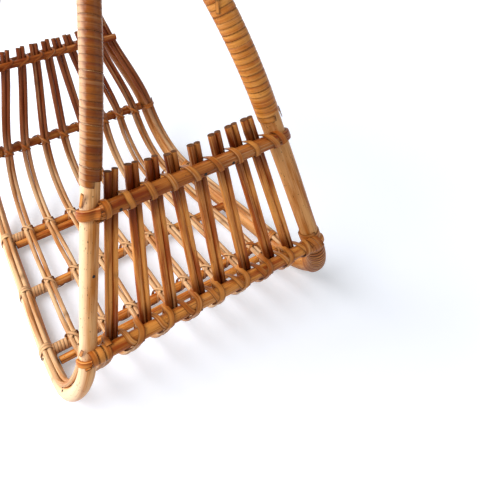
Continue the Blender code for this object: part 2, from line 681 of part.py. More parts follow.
# Peel lashings: one strip winds along a rail, over each pair of canes that lies on it
def lashing_route(crossings, along, outward, rail_radius, over_level, upper_rail_radius=0.0):
    """Points and normals of a strip with one turn round the rail for each pair of canes.

    A crossing is the rail's centre beside the pair, the pair's slope across the holder and its
    two sides, left and right. The strip passes over the pair at a level above the rail's centre,
    or over a second rail that lies on the pair.
    """
    half_step = math.pi / POINTS_PER_TURN
    corner = turn_radius(max(rail_radius, upper_rail_radius), LASHING_GAP, half_step)
    flat, edge = corner * math.cos(half_step), corner * math.sin(half_step)
    side = LASHING_GAP + (NARROW_PEEL_WIDTH / 2 if upper_rail_radius else 2 * PEEL_THICKNESS)
    if upper_rail_radius:
        side_level, clear, over_reach = over_level - flat + edge, flat, edge
    else:
        side_level = over_level - BROAD_SLAT_RADIUS - PEEL_THICKNESS
        clear, over_reach = flat + PEEL_WIDTH / 4, flat / 2
    points, normals = [], []
    for index, (centre, slope, left, right) in enumerate(crossings):
        before, after = (-along, along) if upper_rail_radius else (-X_AXIS, X_AXIS)
        turn = [(left - side, -flat, -edge, -along * flat - outward * edge),
                (left - side, -clear, side_level, before),
                (left * OVER_SHARE, -over_reach, over_level, outward),
                (right * OVER_SHARE, over_reach, over_level, outward)]
        if index < len(crossings) - 1:
            onward, onward_slope, onward_left, _ = crossings[index + 1]
            start = right + side + slope * flat
            bay = onward[0] - centre[0] + onward_left - side - onward_slope * flat - start
            turn += [(right + side, clear, side_level, after),
                     (right + side, flat, -edge, along * flat - outward * edge),
                     (start + bay / 3 - slope * edge, edge, -flat, along * edge - outward * flat),
                     (start + bay * 2 / 3 + slope * edge, -edge, -flat,
                      -along * edge - outward * flat)]
        if index == 0 and upper_rail_radius:
            turn = turn[2:]
        for across, forward, level, normal in turn:
            reach = along * forward + outward * level + X_AXIS * (across + slope * forward)
            points.append(centre + reach)
            normals.append(normal)
    return points, normals


def lashing(name, routes, width=PEEL_WIDTH):
    points = [point for route in routes for point in route[0]]
    normals = [normal for route in routes for normal in route[1]]
    mesh_object(name, strip_rings(points, normals, width, PEEL_THICKNESS), PEEL)


def front_lashing(name, rise, with_ribs):
    """The lashing of a front rail, round each slat pair and the rib ends behind it."""
    half = slat_pair_half_width()
    depth = 2 * BROAD_SLAT_RADIUS
    crossings = []
    for number in range(len(SLAT_FOOT_SHARES)):
        x = slat_pair_x(number, rise)
        slope = (slat_pair_x(number, rise + RIB_RADIUS) - x) / RIB_RADIUS
        left, right = -half, half
        if with_ribs:
            rib_x = rib_centre(number + 1, LEFT_HOOP.bottom_rail)[0] - x
            reach = 2 * RIB_RADIUS + PAIR_GAP / 2
            left, right = min(left, rib_x - reach), max(right, rib_x + reach)
        crossings.append((panel_point(x, rise, FRONT_RAIL_OFFSET), slope, left, right))
    if with_ribs:
        depth += 2 * RIB_RADIUS + 2 * LASHING_GAP
    over_level = FRONT_RAIL_RADIUS + depth + 2 * LASHING_GAP + PEEL_THICKNESS
    lashing(name, [lashing_route(crossings, POLE_UP, -PANEL_FORWARD, FRONT_RAIL_RADIUS,
                                 over_level)])


def rib_crossings(place, rail_radius, numbers):
    """Rail centres beside the rib pairs, with the pairs' two sides."""
    reach = 2 * RIB_RADIUS + PAIR_GAP / 2
    lift = -(RIB_RADIUS + rail_radius + SEAT_GAP)
    return [(rib_bed_point(place, rib_share(number, place), lift), rib_slope(number, place),
             -reach, reach) for number in numbers]


def rib_lashing(name, place_name, rail_radius, upper_rail_radius=0.0, end_turns=0):
    """The lashing of a cross rail; its strip may start with turns on the rail's bare left end."""
    place = getattr(LEFT_HOOP, place_name)
    outward = unit(LEFT_HOOP.inward(place))
    along = unit(np.cross(outward, X_AXIS))
    crossings = rib_crossings(place, rail_radius, range(1, len(RIB_TOE_SHARES) - 1))
    over_level = rail_radius + 2 * (RIB_RADIUS + upper_rail_radius + LASHING_GAP) + PEEL_THICKNESS
    routes = [lashing_route(crossings, along, outward, rail_radius, over_level,
                            upper_rail_radius)]
    if end_turns:
        centre, _, left, _ = crossings[0]
        end = left - RAIL_END_PITCH
        start = end - end_turns * RAIL_END_PITCH
        routes.insert(0, rail_end_route(centre, along, outward, rail_radius, start, end, end_turns))
    lashing(name, routes, NARROW_PEEL_WIDTH if upper_rail_radius else PEEL_WIDTH)


def rail_end_route(centre, along, outward, rail_radius, start, end, turns):
    """Turns round the bare rail that lead into its lashing, ending beside the first pair."""
    corner = turn_radius(rail_radius, LASHING_GAP, math.pi / POINTS_PER_TURN)
    count = turns * POINTS_PER_TURN
    points, normals = [], []
    for index in range(count):
        angle = math.pi * (1 + 1 / POINTS_PER_TURN) - 2 * math.pi * (index - count) / POINTS_PER_TURN
        normal = along * math.cos(angle) + outward * math.sin(angle)
        across = start + (end - start) * index / count
        points.append(centre + X_AXIS * across + normal * corner)
        normals.append(normal)
    return points, normals


def build_lashings():
    front_lashing("front_top_lashing", PANEL_HEIGHT, False)
    front_lashing("front_bottom_lashing", 0.0, True)
    rib_lashing("toe_rail_lashing", "toe", CROSS_RAIL_RADIUS, end_turns=RAIL_END_TURNS)
    rib_lashing("floor_rail_lashing", "floor", CROSS_RAIL_RADIUS)
    rib_lashing("heel_rail_lashing", "heel", CROSS_RAIL_RADIUS)
    rib_lashing("back_middle_lashing", "back_middle", CROSS_RAIL_RADIUS)
    rib_lashing("back_top_lashing", "back_top", OUTER_TOP_RAIL_RADIUS, INNER_TOP_RAIL_RADIUS)


# Peel windings on the hoops
def place_of_half_width(hoop, start, end, half_width):
    places = np.linspace(start, end, SEARCH_SAMPLES)
    widths = np.array([hoop.half_width(place) for place in places])
    return float(places[np.argmin(np.abs(widths - half_width))])


def wrap_ends(hoop):
    """Where the arm windings stop and the handle's binding goes on, front and back."""
    front = place_of_half_width(hoop, HANDLE_REACH, hoop.top_rail, ARM_WRAP_END_HALF_WIDTH)
    back = place_of_half_width(hoop, hoop.back_top, hoop.total - HANDLE_REACH,
                               ARM_WRAP_END_HALF_WIDTH)
    return front, back


def arm_wrap(name, hoop, start, end, turns, cover_share):
    points, normals = winding_route(hoop.point, hoop.axis, start, end, hoop.radius, turns)
    width = abs(end - start) / turns * cover_share
    rings = strip_rings(points, normals, width, PEEL_THICKNESS)
    mesh_object(name, rings, PEEL)
    print_least_gap(name, rings, POINTS_PER_TURN)


def handle_route():
    """A strip round both canes, from the front arms over the top to the back arms."""
    front, back = wrap_ends(LEFT_HOOP)
    back -= LEFT_HOOP.total
    per_turn = 2 * (HALF_TURN_STEPS + 1)
    count = HANDLE_TURNS * per_turn
    half_step = math.pi / HALF_TURN_STEPS / 2
    pitch = (front - back) / (HANDLE_TURNS + 1)
    points, normals = [], []
    for index in range(count + 1):
        place = front - pitch / 2 - (front - back - pitch) * index / count
        step = (index + per_turn - HANDLE_FIRST_STEP) % per_turn
        right_half = step <= HALF_TURN_STEPS
        hoop = RIGHT_HOOP if right_half else LEFT_HOOP
        corner = step if right_half else step - HALF_TURN_STEPS - 1
        angle = math.pi / 2 - 2 * half_step * corner - (0 if right_half else math.pi)
        along = hoop.axis(place)
        up = unit(np.cross(X_AXIS, along))
        up = up if up[2] > 0 else -up
        normal = X_AXIS * math.cos(angle) + up * math.sin(angle)
        points.append(hoop.point(place) + normal * turn_radius(hoop.radius, WRAP_GAP, half_step))
        normals.append(normal)
    return points, normals, pitch


def build_wraps():
    for name, hoop in HOOPS.items():
        front, back = wrap_ends(hoop)
        low = hoop.top_rail - WRAP_START_ABOVE_RAIL
        if name == "right":
            arm_wrap("front_arm_wrap_right", hoop, low, front, FRONT_ARM_TURNS, ARM_COVER_SHARE)
        else:
            points, normals = winding_route(hoop.point, hoop.axis, low, front, hoop.radius,
                                            FRONT_ARM_TURNS + 1 / 4)
            more_points, more_normals, pitch = handle_route()
            width = min((low - front) / FRONT_ARM_TURNS * ARM_COVER_SHARE,
                        pitch * HANDLE_COVER_SHARE)
            rings = strip_rings(points + more_points, normals + more_normals, width, PEEL_THICKNESS)
            mesh_object("left_arm_and_handle_wrap", rings, PEEL)
            print_least_gap("left_arm_and_handle_wrap", rings, POINTS_PER_TURN)
        arm_wrap(f"back_arm_wrap_{name}", hoop, hoop.back_top + BACK_WRAP_START_ABOVE_RAIL, back,
                 BACK_ARM_TURNS, ARM_COVER_SHARE)
    build_toe_wrap()


def build_toe_wrap():
    """Turns round the right foot bend and the rib pair that lies in it."""
    hoop = RIGHT_HOOP
    around = turn_radius(hoop.radius, WRAP_GAP, TOE_CORNER_STEP / 2)
    over = hoop.radius + 2 * RIB_RADIUS + 3 * WRAP_GAP + PEEL_THICKNESS
    spread = 2 * RIB_RADIUS
    corners = [(around * math.sin(angle), around * math.cos(angle), angle)
               for angle in (TOE_FIRST_CORNER + TOE_CORNER_STEP * step
                             for step in range(TOE_CORNERS))]
    corners += [(-spread, over, -TOE_BRIDGE_TILT), (spread, over, TOE_BRIDGE_TILT)]
    start = hoop.bottom_rail + TOE_WRAP_START_BELOW_RAIL
    points, normals = [], []
    for index in range(TOE_TURNS * len(corners) + 1):
        place = start + TOE_WRAP_LENGTH * index / TOE_TURNS / len(corners)
        along = hoop.axis(place)
        sideways = unit(np.cross(along, hoop.inward(place)))
        inward = np.cross(sideways, along)
        across, up, angle = corners[index % len(corners)]
        points.append(hoop.point(place) + sideways * across + inward * up)
        normals.append(sideways * math.sin(angle) + inward * math.cos(angle))
    width = TOE_WRAP_LENGTH / TOE_TURNS * TOE_COVER_SHARE
    rings = strip_rings(points, normals, width, PEEL_THICKNESS)
    mesh_object("right_toe_wrap", rings, PEEL)
    print_least_gap("right_toe_wrap", rings, len(corners))


def stand_on_origin():
    """Put the middle of the footprint on the origin."""
    bpy.context.view_layer.update()
    scene_state = bpy.context.evaluated_depsgraph_get()
    corners = []
    for piece in HOLDER.objects:
        evaluated = piece.evaluated_get(scene_state)
        mesh = bpy.data.meshes.new_from_object(evaluated)
        corners += [piece.matrix_world @ vertex.co for vertex in mesh.vertices]
        bpy.data.meshes.remove(mesh)
    low = [min(corner[axis] for corner in corners) for axis in range(3)]
    high = [max(corner[axis] for corner in corners) for axis in range(3)]
    shift = Vector((-(low[0] + high[0]) / 2, -(low[1] + high[1]) / 2, -low[2]))
    for piece in list(HOLDER.objects) + list(CUTTERS.objects):
        piece.location += shift
    print(f"size {[round(1000 * (top - bottom), 1) for bottom, top in zip(low, high)]} mm,"
          f" moved by {[round(1000 * part, 2) for part in shift]} mm")


build_hoops()
build_ribs()
build_cross_rails()
build_slats()
front_rail("front_top_rail", PANEL_HEIGHT, TOP_RAIL_HALF_WIDTH, TOP_STRAP_HALF_HEIGHT)
front_rail("front_bottom_rail", 0.0, BOTTOM_RAIL_HALF_WIDTH, BOTTOM_STRAP_HALF_HEIGHT)
build_lashings()
build_wraps()
stand_on_origin()
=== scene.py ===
# %% [markdown]
# # A rattan magazine holder
# Two bent rattan poles stand side by side as hoops and meet in a bound handle. Cross rails join
# them, pairs of thin ribs make the floor and the back, pairs of slats make the front, and flat
# strips of rattan peel tie every crossing. The plain solids come from the CAD model. This lesson
# dresses them: it draws each cane and each strip again, rounder and finer, in the same places.

# %% Load the frame
import math

import bpy
import numpy as np
from mathutils import Matrix, Vector


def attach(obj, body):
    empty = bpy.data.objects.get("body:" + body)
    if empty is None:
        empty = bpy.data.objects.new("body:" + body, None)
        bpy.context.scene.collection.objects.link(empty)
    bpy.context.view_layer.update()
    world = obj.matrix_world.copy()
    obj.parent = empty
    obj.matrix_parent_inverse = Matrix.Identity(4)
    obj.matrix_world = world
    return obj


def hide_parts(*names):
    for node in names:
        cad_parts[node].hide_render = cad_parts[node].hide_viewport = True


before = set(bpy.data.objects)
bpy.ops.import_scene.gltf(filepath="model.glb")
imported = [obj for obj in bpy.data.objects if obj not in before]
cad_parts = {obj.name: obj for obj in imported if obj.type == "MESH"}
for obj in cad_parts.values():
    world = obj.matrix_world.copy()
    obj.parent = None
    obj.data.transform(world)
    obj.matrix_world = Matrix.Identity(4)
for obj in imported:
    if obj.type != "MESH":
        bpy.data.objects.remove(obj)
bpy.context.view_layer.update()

# %% [markdown]
# Geometry trees and shader trees are both graphs of nodes. One small class makes any node from its
# type, its settings and its inputs, and a second wraps an output so that arithmetic on it adds the
# Math nodes. A formula then reads like a formula, which is far easier to check than wiring.

# %% Node helpers
def math_method(operation, turned=False):
    """A method that adds a Math node, with the operands turned round for a number that comes first."""
    def method(*operands):
        inputs = dict(enumerate(operands[::-1] if turned else operands))
        return operands[0].graph.node("ShaderNodeMath", inputs, operation=operation)

    return method


class Value:
    """An output socket that can be used in a Python expression."""

    __add__, __radd__ = math_method("ADD"), math_method("ADD", True)
    __sub__, __rsub__ = math_method("SUBTRACT"), math_method("SUBTRACT", True)
    __mul__, __truediv__, __pow__ = math_method("MULTIPLY"), math_method("DIVIDE"), math_method("POWER")
    at_least, at_most = math_method("MAXIMUM"), math_method("MINIMUM")
    fraction, size = math_method("FRACT"), math_method("ABSOLUTE")

    def __init__(self, graph, socket):
        self.graph, self.socket = graph, socket

    def beside(self, name):
        """Another output of the same node."""
        return Value(self.graph, self.socket.node.outputs[name])


class Graph:
    """A node tree that is filled by calls instead of by hand."""

    def __init__(self, tree):
        self.tree = tree

    def node(self, kind, inputs=None, output=0, **settings):
        made = self.tree.nodes.new(kind)
        for name, setting in settings.items():
            setattr(made, name, setting)
        for name, value in (inputs or {}).items():
            if isinstance(value, Value):
                self.tree.links.new(value.socket, made.inputs[name])
            else:
                made.inputs[name].default_value = value
        return Value(self, made.outputs[output]) if made.outputs else None

    def vector(self, operation, *operands, output=0):
        return self.node("ShaderNodeVectorMath", dict(enumerate(operands)), output, operation=operation)

    def parts(self, vector):
        """The X output of a vector's three, with the others beside it."""
        return self.node("ShaderNodeSeparateXYZ", {0: vector})


def emptied(owner):
    """The graph of a world or a material, with its first nodes taken out."""
    owner.use_nodes = True
    owner.node_tree.nodes.clear()
    return Graph(owner.node_tree)


def in_scene(name, data):
    made = bpy.data.objects.new(name, data)
    bpy.context.scene.collection.objects.link(made)
    return made


# %% [markdown]
# The camera comes first, because everything is judged through it. The picture was taken from
# the front left corner, looking steeply down, so the camera's turn is given as three angles and the
# frame is shifted a little sideways. The sizes are in metres.

# %% Camera
CAMERA_PLACE = (-0.21329, -0.47735, 0.5730)
YAW, PITCH, ROLL = (math.radians(angle) for angle in (32.53, 47.81, -0.54))
forward = np.array((math.sin(YAW) * math.cos(PITCH), math.cos(YAW) * math.cos(PITCH), -math.sin(PITCH)))
level = np.array((math.cos(YAW), -math.sin(YAW), 0.0))
down = np.cross(forward, level)
right = level * math.cos(ROLL) + down * math.sin(ROLL)
below = down * math.cos(ROLL) - level * math.sin(ROLL)
camera_data = bpy.data.cameras.new("camera")
camera_data.lens, camera_data.sensor_width = 38.7, 36.0
camera_data.shift_x = 0.125
camera_data.clip_start = 0.01
camera = in_scene("camera", camera_data)
turn = Matrix(np.column_stack((right, -below, -forward))).to_4x4()
camera.matrix_world = Matrix.Translation(CAMERA_PLACE) @ turn
bpy.context.scene.camera = camera
bpy.context.scene.view_settings.view_transform = "Standard"
print("camera looks along", np.round(forward, 3))

# %% [markdown]
# One strong lamp beyond the left side bleaches the left of every cane and throws the shadows to
# the front right. The world around is even and dim, so the other sides go deep brown. The floor takes
# the shadow, and glows only towards the camera and in reflections, so that it looks white while no
# extra light falls on the rattan. Away from the holder it glows a little more, where the lamp
# falls off.

# %% Lamps, world and floor
LAMPS_AIM = Vector((0.0, 0.0, 0.15))
DIM_WORLD = 0.32
NEAR_GLOW, MOST_FAR_GLOW = 0.28, 0.62
FLOOR_REACH = 6


def area_lamp(name, place, size, watts):
    data = bpy.data.lights.new(name, "AREA")
    data.energy, data.size = watts, size
    lamp = in_scene(name, data)
    lamp.location = place
    lamp.rotation_euler = (LAMPS_AIM - Vector(place)).to_track_quat("-Z", "Y").to_euler()


def shown(graph):
    """1 towards the camera and in reflections, and 0 for the light that falls on the object."""
    seen = graph.node("ShaderNodeLightPath", output="Is Camera Ray")
    return (seen + seen.beside("Is Glossy Ray") + seen.beside("Is Transmission Ray")).at_most(1.0)


area_lamp("window", (-1.10, 0.35, 1.05), 1.6, 47.0)
area_lamp("fill", (0.9, -1.1, 0.9), 1.0, 3.0)

world = bpy.data.worlds.new("studio")
bpy.context.scene.world = world
graph = emptied(world)
strength = DIM_WORLD + shown(graph) * (1.0 - DIM_WORLD)
sky = graph.node("ShaderNodeBackground", {"Color": (1, 1, 1, 1), "Strength": strength})
graph.node("ShaderNodeOutputWorld", {"Surface": sky})

floor_paint = bpy.data.materials.new("floor_paint")
graph = emptied(floor_paint)
distance = graph.vector("LENGTH", graph.node("ShaderNodeTexCoord", output="Object"), output="Value")
far_glow = ((distance - 0.45) * 0.55).at_least(0.0).at_most(MOST_FAR_GLOW)
paint = graph.node("ShaderNodeBsdfDiffuse", {"Color": (0.80, 0.83, 0.91, 1)})
glow = graph.node("ShaderNodeEmission", {
    "Color": (0.94, 0.985, 1.0, 1), "Strength": shown(graph) * (far_glow + NEAR_GLOW)})
graph.node("ShaderNodeOutputMaterial", {"Surface": graph.node("ShaderNodeAddShader", {0: paint, 1: glow})})
floor_mesh = bpy.data.meshes.new("floor")
floor_corners = [(x * FLOOR_REACH, y * FLOOR_REACH, 0) for x, y in ((-1, -1), (1, -1), (1, 1), (-1, 1))]
floor_mesh.from_pydata(floor_corners, [], [(0, 1, 2, 3)])
floor_mesh.materials.append(floor_paint)
in_scene("floor", floor_mesh)
print("lamps, world and floor are in place")

# %% [markdown]
# Rattan is a vine. Its fibres run along the cane, its skin is mottled, a raised ring marks each
# joint of the stem, and a cut end shows dark pores inside a paler rim. Over it lies a varnish,
# which is the shader's coat. The shapes carry an attribute called grain, which holds the place along
# the cane and across its section, so that the streaks follow every bend: noise that is stretched
# along the grain gives the fibres. The colour is built in layers. The first ones paint light and shade
# into the colour by the place in the holder and the way a surface faces: painted shade far up the back,
# on the high rails and beside the front rails, painted light on low peel and on the lit side of the
# left pole, and painted shade on the left arm with painted highlights at its sides. The last ones are
# the cane's own streaks, flecks and joint rings, and painted shade along the edges of a strip of peel.

# %% Rattan finishes
def cane_material(name, light, dark, end_light, end_dark, roughness=0.28, fleck=0.3, streak=0.3, pale=0.3,
                  painted_back_shade=0.0, upper=0.0, arm=0.0, painted_contact_shade=0.0, painted_low_light=0.0, painted_lit_side=0.0,
                  skin=0.35, coat=0.15, edge=0.75):
    """Varnished rattan. After the roughness come how much it has of each layer, its relief and varnish."""
    made = bpy.data.materials.new(name)
    graph = emptied(made)
    grain = graph.node("ShaderNodeAttribute", output="Vector", attribute_name="grain")
    ring = graph.node("ShaderNodeAttribute", output="Fac", attribute_name="ring")
    cut = graph.node("ShaderNodeAttribute", output="Fac", attribute_name="cut")

    def noise(stretch, detail, coarseness):
        place = graph.vector("MULTIPLY", grain, stretch)
        return graph.node("ShaderNodeTexNoise", {
            "Vector": place, "Scale": 1.0, "Detail": detail, "Roughness": coarseness})

    def mix(share, first, second, blend="MIX"):
        return graph.node("ShaderNodeMix", {0: share, 6: first, 7: second}, output=2,
                          data_type="RGBA", blend_type=blend)

    def band(value, low, high):
        return graph.node("ShaderNodeMapRange", {0: value, 1: low, 2: high}, interpolation_type="SMOOTHSTEP")

    def near(height, inner, outer):
        return 1.0 - band((z - height).size(), inner, outer)

    x = graph.parts(graph.node("ShaderNodeTexCoord", output="Object"))
    y, z = x.beside("Y"), x.beside("Z")
    facing = graph.parts(graph.node("ShaderNodeNewGeometry", output="Normal"))
    # The left arm's mask, for its painted shade and its painted highlights.
    left_arm = band(x, 0.02, -0.03) * band(z, 0.24, 0.27) * arm
    fibres, mottle = noise((45, 1500, 1500), 3, 0.6), noise((16, 130, 130), 2, 0.5)
    flecks = band(noise((260, 700, 700), 1, 0.5), 0.69, 0.76) * fleck
    # Painted shade far up the back and on the high rails, and beside the front rails; painted light on low peel,
    # but for the right; painted shade on the left arm, with painted highlights on its sides; painted light on the side
    # of a pole that faces the lamp; then the cane's own marks, and painted shade along the edges of a strip.
    layers = (
        # painted shade on the canes far back and high up the back
        (band(y, -0.02, 0.09) * band(z, 0.02, 0.15) * painted_back_shade, "MULTIPLY", (0.34, 0.095, 0.016)),
        # painted shade on the rails high up
        (band(z, 0.17, 0.26) * upper, "MULTIPLY", (0.42, 0.22, 0.12)),
        # painted shade on the slats beside the two front rails
        (near(0.252, 0.007, 0.036).at_least(near(0.118, 0.006, 0.026)) * painted_contact_shade, "MULTIPLY", (0.20, 0.065, 0.020)),
        # painted light on the peel low down, but for the right
        (band(z, 0.06, 0.03) * band(x, 0.13, 0.08) * painted_low_light, "MIX", (0.86, 0.62, 0.36)),
        # painted shade on the left arm
        (left_arm, "MULTIPLY", (0.42, 0.29, 0.15)),
        # painted highlights on both sides of the left arm
        (band(facing.size(), 0.60, 0.97) * left_arm * 0.55, "MIX", (0.84, 0.56, 0.34)),
        # painted light on the side of a pole that faces the lamp
        (band(facing, -0.25, -0.90) * painted_lit_side, "MIX", (0.88, 0.68, 0.46)),
        (band(noise((7, 400, 400), 2, 0.5), 0.56, 0.72) * pale, "MIX", (0.84, 0.53, 0.25)),
        (band(noise((9, 480, 480), 2, 0.5), 0.57, 0.72) * streak, "MIX", (0.11, 0.022, 0.003)),
        (flecks, "MIX", (0.05, 0.018, 0.006)),
        # joint rings on a cane, and painted shade along both edges of a strip of peel
        (ring * edge, "MIX", (0.09, 0.028, 0.007)))
    colour = mix(band(fibres * 0.35 + mottle * 0.65, 0.37, 0.61), (*dark, 1), (*light, 1))
    for share, blend, tint in layers:
        colour = mix(share, colour, (*tint, 1), blend)
    pores = band(noise((10, 2400, 2400), 2, 0.6), 0.42, 0.60)
    colour = mix(cut, colour, mix(pores, (*end_dark, 1), (*end_light, 1)))
    relief = fibres * 0.6 + mottle * 0.4 + flecks * -0.5
    bump = graph.node("ShaderNodeBump", {"Height": relief, "Strength": skin, "Distance": 0.0006})
    shader = graph.node("ShaderNodeBsdfPrincipled", {
        "Base Color": colour, "Roughness": roughness + fibres * 0.16 + cut * 0.35, "Normal": bump,
        "Coat Weight": coat - cut * 0.12, "Coat Roughness": 0.22, "Specular IOR Level": 0.05})
    graph.node("ShaderNodeOutputMaterial", {"Surface": shader})
    return made


DARK_END = (0.05, 0.02, 0.008)
POLE_END = ((0.40, 0.20, 0.07), DARK_END)
PEEL_END = ((0.30, 0.14, 0.05), (0.08, 0.03, 0.012))
# The amounts below add painted shade far up the back, on the high rails and beside the front rails, painted light on
# low peel and on the left pole's lit side, and painted shade and highlights on the left arm.
POLE_CANE = cane_material("pole_cane", (0.76, 0.40, 0.160), (0.50, 0.165, 0.024), *POLE_END,
                          fleck=0.8, painted_back_shade=0.8, painted_lit_side=0.6)
DEEP_POLE_CANE = cane_material("deep_pole_cane", (0.68, 0.33, 0.110), (0.44, 0.135, 0.018), *POLE_END,
                               fleck=1.0, streak=0.35, painted_back_shade=0.6)
RAIL_CANE = cane_material("rail_cane", (0.68, 0.27, 0.052), (0.30, 0.056, 0.005), (0.36, 0.17, 0.06), DARK_END,
                          roughness=0.30, fleck=0.6, streak=0.65, painted_back_shade=0.5, upper=0.60)
SLAT_CANE = cane_material("slat_cane", (0.78, 0.32, 0.070), (0.36, 0.070, 0.006), (0.22, 0.09, 0.035),
                          (0.030, 0.011, 0.005), roughness=0.30, fleck=0.5, streak=0.50, painted_contact_shade=0.85)
RIB_CANE = cane_material("rib_cane", (0.64, 0.40, 0.210), (0.38, 0.130, 0.026), (0.34, 0.16, 0.06), DARK_END,
                         fleck=0.4, streak=0.35, painted_back_shade=0.90)
PEEL = cane_material("peel", (0.60, 0.235, 0.050), (0.35, 0.088, 0.010), *PEEL_END,
                     painted_back_shade=0.65, painted_low_light=0.45, skin=0.25, edge=0.85)
ARM_PEEL = cane_material("arm_peel", (0.66, 0.27, 0.050), (0.42, 0.115, 0.011), *PEEL_END, roughness=0.26,
                         streak=0.25, pale=0.12, painted_back_shade=0.5, arm=1.0, skin=0.20, coat=0.25, edge=0.50)
NAIL = bpy.data.materials.new("nail_steel")
graph = emptied(NAIL)
steel = graph.node("ShaderNodeBsdfPrincipled", {
    "Base Color": (0.03, 0.025, 0.022, 1), "Metallic": 1.0, "Roughness": 0.42})
graph.node("ShaderNodeOutputMaterial", {"Surface": steel})
print("eight finishes made")

# %% [markdown]
# Every cane is a round section carried along a path, and every peel strip is a flat section
# carried along a path, so two node trees make the whole holder. The path is a chain of edges that
# brings its own data: how far along it is, how wide it is there, whether it is a cut end, and for a
# strip which way its face looks. The first tree also raises the joint rings and makes the cane
# slightly uneven, as a grown thing is.

# %% Geometry tree for a cane
NUMBER = "NodeSocketFloat"
VECTOR = "FLOAT_VECTOR"


def new_tree(name, sockets):
    tree = bpy.data.node_groups.new(name, "GeometryNodeTree")
    tree.interface.new_socket("Path", in_out="INPUT", socket_type="NodeSocketGeometry")
    for socket_name, kind in sockets:
        tree.interface.new_socket(socket_name, in_out="INPUT", socket_type=kind)
    tree.interface.new_socket("Geometry", in_out="OUTPUT", socket_type="NodeSocketGeometry")
    graph = Graph(tree)
    inputs = tree.nodes.new("NodeGroupInput")
    return tree, graph, {socket.name: Value(graph, socket) for socket in inputs.outputs if socket.name}


def end_tree(graph, geometry, material):
    made_real = graph.node("GeometryNodeRealizeInstances", {0: geometry})
    dressed = graph.node("GeometryNodeSetMaterial", {"Geometry": made_real, "Material": material})
    graph.node("NodeGroupOutput", {0: dressed})


def store(graph, geometry, name, value, kind="FLOAT"):
    return graph.node("GeometryNodeStoreNamedAttribute", {"Geometry": geometry, "Name": name, "Value": value},
                      data_type=kind, domain="POINT")


def read(graph, name, kind="FLOAT"):
    return graph.node("GeometryNodeInputNamedAttribute", {"Name": name}, data_type=kind)


def swept(graph, line, section):
    """Carry a section along a line, and put the place along it and across it into the grain."""
    section = store(graph, section, "across", graph.node("GeometryNodeInputPosition"), VECTOR)
    shape = graph.node("GeometryNodeCurveToMesh", {"Curve": line, "Profile Curve": section, "Fill Caps": True})
    across = graph.parts(read(graph, "across", VECTOR))
    grain = graph.node("ShaderNodeCombineXYZ", {"X": read(graph, "along"), "Y": across, "Z": across.beside("Y")})
    return store(graph, shape, "grain", grain, VECTOR)


def finished(graph, shape, stretch, unevenness, more=0.0):
    """Swell the surface by waves that follow the grain, and keep only its sharp edges sharp."""
    place = graph.vector("MULTIPLY", read(graph, "grain", VECTOR), stretch)
    waves = graph.node("ShaderNodeTexNoise", {"Vector": place, "Scale": 1.0, "Detail": 2.0})
    swelling = (waves - 0.5) * 2.0 * unevenness + more
    shift = graph.node("ShaderNodeVectorMath", {0: graph.node("GeometryNodeInputNormal"), "Scale": swelling},
                       operation="SCALE")
    shape = graph.node("GeometryNodeSetPosition", {"Geometry": shape, "Offset": shift})
    sharp = graph.node("ShaderNodeMath", {0: graph.node("GeometryNodeInputMeshEdgeAngle"), 1: math.radians(40)},
                       operation="GREATER_THAN")
    smooth = graph.node("GeometryNodeSetShadeSmooth", {"Geometry": shape})
    return graph.node("GeometryNodeSetShadeSmooth", {"Geometry": smooth, "Selection": sharp, "Shade Smooth": False},
                      domain="EDGE")


cane_tree, graph, given = new_tree("cane_along_a_path", (
    ("Radius", NUMBER), ("Sides", "NodeSocketInt"), ("Joint Spacing", NUMBER), ("Joint Width", NUMBER),
    ("Joint Height", NUMBER), ("Unevenness", NUMBER), ("Finish", "NodeSocketMaterial")))
line = graph.node("GeometryNodeMeshToCurve", {0: given["Path"]})
line = graph.node("GeometryNodeSetCurveRadius", {"Curve": line, "Radius": read(graph, "girth")})
section = graph.node("GeometryNodeCurvePrimitiveCircle", {
    "Resolution": given["Sides"], "Radius": given["Radius"]}, mode="RADIUS")
cane = swept(graph, line, section)
from_joint = ((read(graph, "along") / given["Joint Spacing"]).fraction() - 0.5).size() * given["Joint Spacing"]
ring = (1.0 - from_joint / given["Joint Width"]).at_least(0.0)
cane = store(graph, cane, "ring", ring * ring)
cane = finished(graph, cane, (22, 60, 60), given["Unevenness"], ring * given["Joint Height"])
end_tree(graph, cane, given["Finish"])

# %% Geometry tree for a strip of peel
peel_tree, graph, given = new_tree("peel_along_a_path", (
    ("Width", NUMBER), ("Thickness", NUMBER), ("Crown", NUMBER), ("Unevenness", NUMBER),
    ("Finish", "NodeSocketMaterial")))
line = graph.node("GeometryNodeMeshToCurve", {0: given["Path"]})
line = graph.node("GeometryNodeSetCurveNormal", {"Curve": line, "Normal": read(graph, "face", VECTOR)}, mode="FREE")
line = graph.node("GeometryNodeSetCurveRadius", {"Curve": line, "Radius": read(graph, "girth")})
section = graph.node("GeometryNodeCurvePrimitiveQuadrilateral", {
    "Width": given["Thickness"], "Height": given["Width"]}, mode="RECTANGLE")
section = graph.node("GeometryNodeResampleCurve", {"Curve": section, "Count": 12})
depth = graph.parts(graph.node("GeometryNodeInputPosition"))
side = depth.beside("Y")
reach = side / given["Width"] * 2.0
upper_face = (depth * 1000000.0).at_least(-1.0).at_most(1.0)
rounding = (1.0 - reach * reach) * given["Crown"]
depth = depth * (1.0 - reach * reach * 0.25) + rounding * 0.5 + upper_face * rounding * 0.5
place = graph.node("ShaderNodeCombineXYZ", {"X": depth, "Y": side})
section = graph.node("GeometryNodeSetPosition", {"Geometry": section, "Position": place})
section = store(graph, section, "grain_side", side)
strip = swept(graph, line, section)
